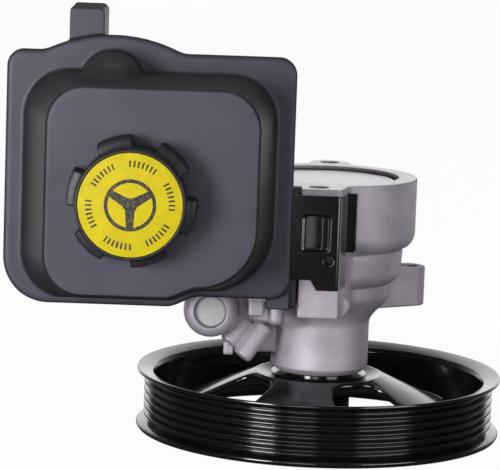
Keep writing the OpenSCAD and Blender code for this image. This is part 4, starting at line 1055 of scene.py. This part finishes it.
class PUMP_OT_housing(bpy.types.Operator):
    """Cast housing: the skin of barrel, column, pad, boss, lug and ear, blended by fillets, less bores"""

    bl_idname = "pump.housing"
    bl_label = "Cast housing"

    def barrel_outline(self):
        """Radius of the barrel and its slope over the height above the foot, softened at the corners."""
        bow = np.linspace(0, np.pi / 2, 9)
        swing = np.linspace(0, np.pi, 11)
        stations = np.concatenate([
            [(0, 18.8), (2.6, 21.4)],
            np.stack([21.8 + 14 * swing / np.pi, 25.55 - 4.15 * np.cos(swing)], -1),
            np.stack([47.3 - 6.5 * np.cos(bow), 29.7 + 4.7 * np.sin(bow)], -1), [(53.3, 34.8)],
            np.stack([63.3 - 7 * np.cos(bow), 34.8 + 5.2 * np.sin(bow)], -1), [(200, 40)]]) * MM
        heights = np.linspace(0, 90 * MM, 500)
        radii = np.interp(heights, stations[:, 0], stations[:, 1])
        window = np.hanning(11) / np.hanning(11).sum()
        radii = np.convolve(np.pad(radii, 5, mode="edge"), window, "valid")
        return heights, radii, np.gradient(radii, heights)

    def execute(self, context):
        h = context.scene.pump_housing
        c = context.scene.pump_clip
        low_z = HOUSING_LOW[2]
        far_up = 0.2
        heights, radii, slopes = self.barrel_outline()
        front, rear, ear = (MOUNTS[name + "_bolt_hole"] for name in ("front", "rear", "ear"))
        ear_turn = math.atan2(ear[1], ear[0])
        ear_low, ear_high = ear[2] - h.ear_h / 2, ear[2] + h.ear_h / 2
        column_left, column_right = front[0] - h.column_left, front[0] + h.column_right
        column_z = TOP_Z - h.column_h
        side = np.array([12.1, -3.0]) / math.hypot(12.1, 3.0)
        valve = np.array((VALVE_X, h.boss_y, VALVE_Z))
        lean = np.array((0.55, 0.27, 0.79))
        ring_low, ring_high = BOX["end_cover_ring"][0][2], BOX["end_cover_ring"][1][2]
        window_x = CLIP_LOW[0] + c.window_x + c.window_w / 2
        window_z = CLIP_LOW[2] + c.window_z + c.window_h / 2
        hole_x, hole_z = CLIP_LOW[0] + c.hole_x, CLIP_LOW[2] + c.hole_z

        def from_valve(*millimetres):
            return valve + np.array(millimetres) * MM

        def field(x, y, z):
            here = (x, y, z)
            r = np.hypot(x, y)
            rise = z - low_z
            barrel = r - np.interp(rise, heights, radii)
            barrel = barrel / np.sqrt(1 + np.interp(rise, heights, slopes) ** 2)
            barrel = blend_max(barrel, -rise, 1 * MM)
            k = 0.8 * MM
            slant = (x - column_right) * side[0] + (y - h.column_y) * side[1]
            column = blend_max(blend_max(column_left - x, slant, k), h.column_y - y, k)
            column = blend_max(blend_max(column, column_z - z, k), y + 17 * MM, k)
            lobe = lying(here, (column_right + 1 * MM, column_z + 4.3 * MM), 4.2 * MM,
                         h.pad_y - 1 * MM, -14 * MM, k)
            pad = block(here, (h.pad_left, h.pad_y, column_z + 5 * MM),
                        (column_left + 1 * MM, -17 * MM, far_up), 1 * MM)
            rail = block(here, (h.pad_left, h.pad_y, column_z - 1.6 * MM),
                         (h.pad_left + 6.5 * MM, -15 * MM, far_up), 1 * MM)
            pin = upright(here, (h.pad_left + 12 * MM, h.pad_y + 7 * MM), 3.6 * MM,
                          column_z - 6 * MM, column_z + 24 * MM, 3 * MM)
            boss = lying(here, (VALVE_X, VALVE_Z), h.boss_r, h.boss_y, 30 * MM, 6 * MM)
            web = bar((x, 0 * y, z), (VALVE_X, 0, VALVE_Z), (-15 * MM, 0, VALVE_Z + 2 * MM),
                      10.1 * MM, 8.6 * MM)
            web = blend_max(web, np.abs(y - 3 * MM) - 21 * MM, 3 * MM)
            ribs = ((from_valve(8, 13, -15.3), 13 * MM, 4.1 * MM),
                    (from_valve(14.1, 11, -21), 17 * MM, 4.2 * MM))
            rib_a, rib_b = (
                stub(here, foot, foot + size * lean, thick, 1.2 * MM) for foot, size, thick in ribs)
            tab = block(here, from_valve(6, 15, -21.1), from_valve(10.4, 35, -15.5), 0.7 * MM)
            plate = block(here, from_valve(8, 25, -21.2), from_valve(28.3, 40, -9), 1 * MM)
            lug_low = rear[2] - h.lug_h
            lug = upright(here, rear, h.lug_r, lug_low, far_up, k)
            lug_web = block(here, (rear[0] - h.lug_r, 18 * MM, lug_low),
                            (rear[0] + h.lug_r, rear[1], far_up), k)
            u = x * math.cos(ear_turn) + y * math.sin(ear_turn)
            v = y * math.cos(ear_turn) - x * math.sin(ear_turn)
            ear_boss = upright(here, ear, h.ear_r, ear_low, ear_high, k)
            ear_web = block((u, v, z), (10 * MM, -h.ear_r, ear_low),
                            (math.hypot(ear[0], ear[1]), h.ear_r, ear_high), k)
            body = barrel
            for part, fillet in (
                    (np.minimum(ear_boss, ear_web), 3), (np.minimum(lug, lug_web), 3), (column, 2.5),
                    (lobe, 2.5), (pad, 2), (rail, 1.5), (pin, 2), (web, 4), (plate, 2), (rib_a, 1),
                    (rib_b, 1), (tab, 0.6), (boss, 2.5)):
                body = blend_min(body, part, fillet * MM)
            body = blend_max(body, z - TOP_Z, 0.8 * MM)

            slack, edge = 0.05 * MM, 0.5 * MM
            cavity = np.maximum(r - h.cavity_r, BOX["thrust_plate"][0][2] - z)
            groove = np.maximum(r - h.ring_r, np.maximum(ring_low - slack - z, z - ring_high - slack))
            passage = r - h.shaft_r
            seal = np.maximum(r - h.seal_r, rise - h.seal_h)
            bushing = np.maximum(r - h.bushing_r, h.bushing_z - rise)
            bore = np.hypot(x - VALVE_X, z - VALVE_Z) - VALVE_R - 0.02 * MM
            bore = np.maximum(bore, np.abs(y) - 40 * MM)
            suction = lying(here, SUCTION[::2], 6.55 * MM, h.pad_y - 2 * MM, h.pad_y + 7 * MM, 0.2 * MM)
            hook = block(here, (h.pad_left - 1 * MM, h.pad_y + 4.7 * MM, CLIP_LOW[2] - 1 * MM),
                         (h.pad_left + 2.8 * MM, h.pad_y + 6.5 * MM, far_up), 0.1 * MM)
            margin = 0.65 * MM
            pocket = np.maximum(np.abs(x - window_x) - c.window_w / 2 - margin,
                                np.abs(z - window_z) - c.window_h / 2 - margin)
            pocket = np.maximum(pocket, y - h.column_y - 2 * MM - 0.4 * (x - window_x))
            dimple = np.hypot(x - hole_x, z - hole_z) - c.hole_r - 0.2 * MM
            dimple = np.maximum(dimple, y - h.column_y - 4 * MM)
            bolts = [np.hypot(x - bolt[0], y - bolt[1]) - h.bolt_r for bolt in (front, rear, ear)]
            holes = np.minimum(np.minimum(bolts[0], bolts[1]), bolts[2])
            for cut in (cavity, groove, passage, seal, bushing, bore, suction, hook,
                        np.minimum(pocket, dimple), holes):
                body = blend_max(body, -cut, edge)
            return body

        make_skin("pump_housing_casting", field, BOX["pump_housing"], (1.6, 0.82), "housing",
                  ["pump_housing"], "cast_aluminium")
        return {"FINISHED"}


# Clip, spring and fittings

class PUMP_OT_clip(bpy.types.Operator):
    """Right clip: the skin of a bent steel plate with side leg, ear, pressed frame, window and hole"""

    bl_idname = "pump.clip"
    bl_label = "Right clip"

    def execute(self, context):
        c = context.scene.pump_clip
        front, left, low, high = CLIP_LOW[1], CLIP_LOW[0], CLIP_LOW[2], CLIP_HIGH[2]
        corner_x = CLIP_HIGH[0] - c.ear_w - c.lean - c.steel
        lean = np.array([c.leg, -c.lean]) / math.hypot(c.leg, c.lean)
        notch = np.array([-c.notch_h, -c.notch_w]) / math.hypot(c.notch_h, c.notch_w)
        frame_corners, frame_edge, window_corners = [2 * MM] * 4, 1.2 * MM, [0.5 * MM] * 4
        bend_out, bend_in, bend_w = 1.6 * MM, 0.6 * MM, 3 * MM

        def field(x, y, z):
            k = 0.5 * MM
            press = c.press * smooth_step(-rounded_rectangle(
                x, z, left + c.frame_x, left + c.frame_x + c.frame_w, low + c.frame_z,
                low + c.frame_z + c.frame_h, *frame_corners) / frame_edge)
            plate = np.abs(y - front - c.steel / 2 - press) - c.steel / 2
            outer = (x - corner_x - c.steel) * lean[0] + (y - front - c.steel) * lean[1]
            hollow = blend_max(front + press + c.steel - y, outer + c.steel, bend_in)
            shell = blend_max(blend_max(front + press - y, outer, bend_out), -hollow, 0.3 * MM)
            shell = np.maximum(shell, y - front - c.steel - c.leg)
            flat = np.maximum(plate, x - corner_x)
            body = np.where(x < corner_x - bend_w, flat, shell)
            ear = np.maximum(np.abs(y - front - c.leg) - c.steel / 2, rounded_rectangle(
                x, z, corner_x + c.lean, CLIP_HIGH[0], low + c.ear_z, high + 9 * MM,
                0, 0, 0, 1.5 * MM))
            body = np.minimum(body, ear)
            cut = (x - left - c.notch_x) * notch[0] + (z - low - c.notch_h) * notch[1]
            foot = np.minimum(low + c.notch_h - z, cut)
            body = blend_max(body, np.maximum(low - z, foot), k)
            body = blend_max(blend_max(body, left - x, k), z - high, k)
            window = rounded_rectangle(
                x, z, left + c.window_x, left + c.window_x + c.window_w, low + c.window_z,
                low + c.window_z + c.window_h, *window_corners)
            hole = np.hypot(x - left - c.hole_x, z - low - c.hole_z) - c.hole_r
            opening = np.maximum(np.minimum(window, hole), y - front - 4 * MM)
            return blend_max(body, -opening, k)

        make_skin("clip_right_plate", field, BOX["clip_right"], (0.8, 0.4), "housing",
                  ["clip_right"], "black_clip_steel")
        return {"FINISHED"}


class PUMP_OT_valve_spring(bpy.types.Operator):
    """Valve spring: a round wire carried along a helix"""

    bl_idname = "pump.valve_spring"
    bl_label = "Valve spring"

    def execute(self, context):
        low, high = BOX["flow_valve_spring"]
        size = high[1] - low[1]
        wire, turns, sides = 0.8 * MM, 5, 12
        share = np.linspace(0, 1, 160)[:, None]
        share = np.concatenate([share[:1], share, share[-1:]])
        thick = np.full_like(share, wire)
        thick[[0, -1]] = 0
        a = 2 * np.pi * turns * share
        b = np.linspace(0, 2 * np.pi, sides, endpoint=False)
        r = (high[0] - low[0]) / 2 - wire + thick * np.cos(b)
        y = low[1] + wire + (size - 2 * wire) * share + thick * np.sin(b)
        points = np.stack([VALVE_X + r * np.cos(a), y, VALVE_Z + r * np.sin(a)], -1).reshape(-1, 3)
        faces = outward(points, loop_faces(len(share), sides, False))
        spring = make_object("flow_valve_spring_coil", points, faces, "housing", ["flow_valve_spring"],
                             "spring_steel")
        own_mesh(spring)
        return {"FINISHED"}


class PUMP_OT_fittings(bpy.types.Operator):
    """Finishes of the solids that are shown as they are: shaft, rings, plates, seals and valve parts"""

    bl_idname = "pump.fittings"
    bl_label = "Fittings"

    def execute(self, context):
        ready = finishes()
        slot_of = {part["node"]: part["material_slot"] for part in frame["record"]["subparts"]}
        for name, node in frame["nodes"].items():
            if node.hide_render:
                continue
            node.data.materials.clear()
            finish = "turned_plug" if name == "valve_plug" else slot_of.get(name, "ground_steel")
            node.data.materials.append(ready[finish])
        return {"FINISHED"}


# Stage

class PUMP_OT_stage(bpy.types.Operator):
    """Pale floor, soft lamps and the camera at the photograph's angle"""

    bl_idname = "pump.stage"
    bl_label = "Stage"

    def execute(self, context):
        scene = context.scene
        scene.view_settings.view_transform = "Standard"
        scene.world = scene.world or bpy.data.worlds.new("studio")
        self.light_world(scene.world)
        self.lay_floor(scene)
        self.hang_lamps(scene)
        self.place_camera(scene)
        return {"FINISHED"}

    def light_world(self, world):
        """White for the camera, a white backdrop in a dark room for gloss, a dim even light for the rest."""
        world.use_nodes = True
        tree = world.node_tree
        background = tree.nodes["Background"]
        background.inputs["Color"].default_value = (1, 1, 1, 1)
        place = tree.nodes.new("ShaderNodeTexCoord").outputs["Generated"]
        depth = maths(tree, "ADD", maths(tree, "MULTIPLY", split(tree, place)["Y"], 0.5), 0.5)
        room = ramp(tree, depth, [(0.5, 0.03), (0.76, 0.08), (0.9, 0.4), (0.97, 1.0)])
        rays = tree.nodes.new("ShaderNodeLightPath").outputs
        seen = maths(tree, "MAXIMUM", rays["Is Camera Ray"], rays["Is Transmission Ray"])
        shine = maths(tree, "MULTIPLY", rays["Is Glossy Ray"], room)
        even = maths(tree, "MULTIPLY", rays["Is Diffuse Ray"], 0.075)
        light = maths(tree, "MAXIMUM", seen, maths(tree, "MAXIMUM", shine, even))
        feed(tree, light, background, "Strength")

    def lay_floor(self, scene):
        """A wide flat square just under the pulley, white to the camera and, behind the pump, to gloss."""
        half, gap, glow_share = 6.0, 0.05 * MM, 0.96
        corners = np.array([(-half, -half, 0), (half, -half, 0), (half, half, 0), (-half, half, 0)])
        mesh = bpy.data.meshes.new("floor")
        mesh.from_pydata((corners + (0, 0, CAD_BOX[0].z - gap)).tolist(), [], [(0, 1, 2, 3)])
        floor = bpy.data.objects.new("floor", mesh)
        scene.collection.objects.link(floor)
        material, tree, shader, place = start_material("pale_floor", Roughness=0.6)
        clouds = shades(tree, noise(tree, place, 3), scene.pump_colours.floor, 0.99, 1.01)
        feed(tree, clouds, shader, "Base Color")
        glow = tree.nodes.new("ShaderNodeEmission")
        rays = tree.nodes.new("ShaderNodeLightPath").outputs
        behind = ramp(tree, split(tree, place)["Y"], [(0.1, 0.03), (0.3, 1.0)])
        shine = maths(tree, "MULTIPLY", rays["Is Glossy Ray"], behind)
        feed(tree, maths(tree, "MAXIMUM", rays["Is Camera Ray"], shine), glow, "Strength")
        both = tree.nodes.new("ShaderNodeMixShader")
        both.inputs["Fac"].default_value = glow_share
        tree.links.new(shader.outputs[0], both.inputs[1])
        tree.links.new(glow.outputs[0], both.inputs[2])
        feed(tree, both.outputs[0], tree.nodes["Material Output"], "Surface")
        mesh.materials.append(material)

    def hang_lamps(self, scene):
        """A soft key left of the camera, a weak card in front, a card on the right and a lamp overhead."""
        target = (CAD_BOX[0] + CAD_BOX[1]) / 2
        for name, place, size, power in (
                ("key", (-0.38, -0.55, 0.05), (0.18, 0.28), 3.1),
                ("front_card", (-0.10, -0.66, 0.0), (0.20, 0.40), 0.6),
                ("right_card", (0.44, -0.44, 0.02), (0.36, 0.40), 1.35),
                ("overhead", (0.0, 0.1, 0.9), (0.8, 0.6), 2.3)):
            lamp = bpy.data.lights.new(name, "AREA")
            lamp.shape = "RECTANGLE"
            lamp.size, lamp.size_y = size
            lamp.energy = power
            thing = bpy.data.objects.new(name, lamp)
            thing.location = target + Vector(place)
            thing.rotation_euler = (target - thing.location).to_track_quat("-Z", "Y").to_euler()
            thing.visible_camera = False
            scene.collection.objects.link(thing)

    def place_camera(self, scene):
        """Camera in front of the pump, a little above, tipped down and rolled."""
        place = (-0.0324, -1.257, 0.26986)
        pitch, roll = 0.1455, 0.0349
        sensor, focal_px, width_px = 36, 2890, 500
        ahead = Vector((0, math.cos(pitch), -math.sin(pitch)))
        level = Vector((1, 0, 0))
        rise = level.cross(ahead)
        right = math.cos(roll) * level + math.sin(roll) * rise
        up = math.cos(roll) * rise - math.sin(roll) * level
        camera = bpy.data.cameras.new("camera")
        camera.sensor_width = sensor
        camera.lens = sensor * focal_px / width_px
        thing = bpy.data.objects.new("camera", camera)
        turn = Matrix((right, up, -ahead)).transposed().to_4x4()
        thing.matrix_world = Matrix.Translation(place) @ turn
        scene.collection.objects.link(thing)
        scene.camera = thing


class PUMP_PT_panel(bpy.types.Panel):
    """Lists the steps that build the pump's looks"""

    bl_idname = "PUMP_PT_panel"
    bl_label = "Pump"
    bl_space_type = "VIEW_3D"
    bl_region_type = "UI"
    bl_category = "Pump"

    def draw(self, context):
        for step in STEPS:
            self.layout.operator(step.bl_idname)


GROUPS = {
    "pump_tank": PumpTankSizes,
    "pump_cap": PumpCapSizes,
    "pump_pulley": PumpPulleySizes,
    "pump_housing": PumpHousingSizes,
    "pump_clip": PumpClipSizes,
    "pump_colours": PumpColours,
}
STEPS = (
    PUMP_OT_stage, PUMP_OT_housing, PUMP_OT_pulley, PUMP_OT_reservoir_front, PUMP_OT_reservoir_rear,
    PUMP_OT_filler_cap, PUMP_OT_clip, PUMP_OT_valve_spring, PUMP_OT_fittings)


def register():
    """Registers the classes and puts the size groups on the scene."""
    for group in (*GROUPS.values(), *STEPS, PUMP_PT_panel):
        bpy.utils.register_class(group)
    for name, group in GROUPS.items():
        setattr(bpy.types.Scene, name, bpy.props.PointerProperty(type=group))


def unregister():
    """Takes the size groups off the scene and removes the classes."""
    for name in GROUPS:
        delattr(bpy.types.Scene, name)
    for group in reversed((*GROUPS.values(), *STEPS, PUMP_PT_panel)):
        bpy.utils.unregister_class(group)


def main():
    """Registers the add-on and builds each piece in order."""
    register()
    for step in STEPS:
        area, name = step.bl_idname.split(".")
        getattr(getattr(bpy.ops, area), name)()


if __name__ == "__main__":
    main()
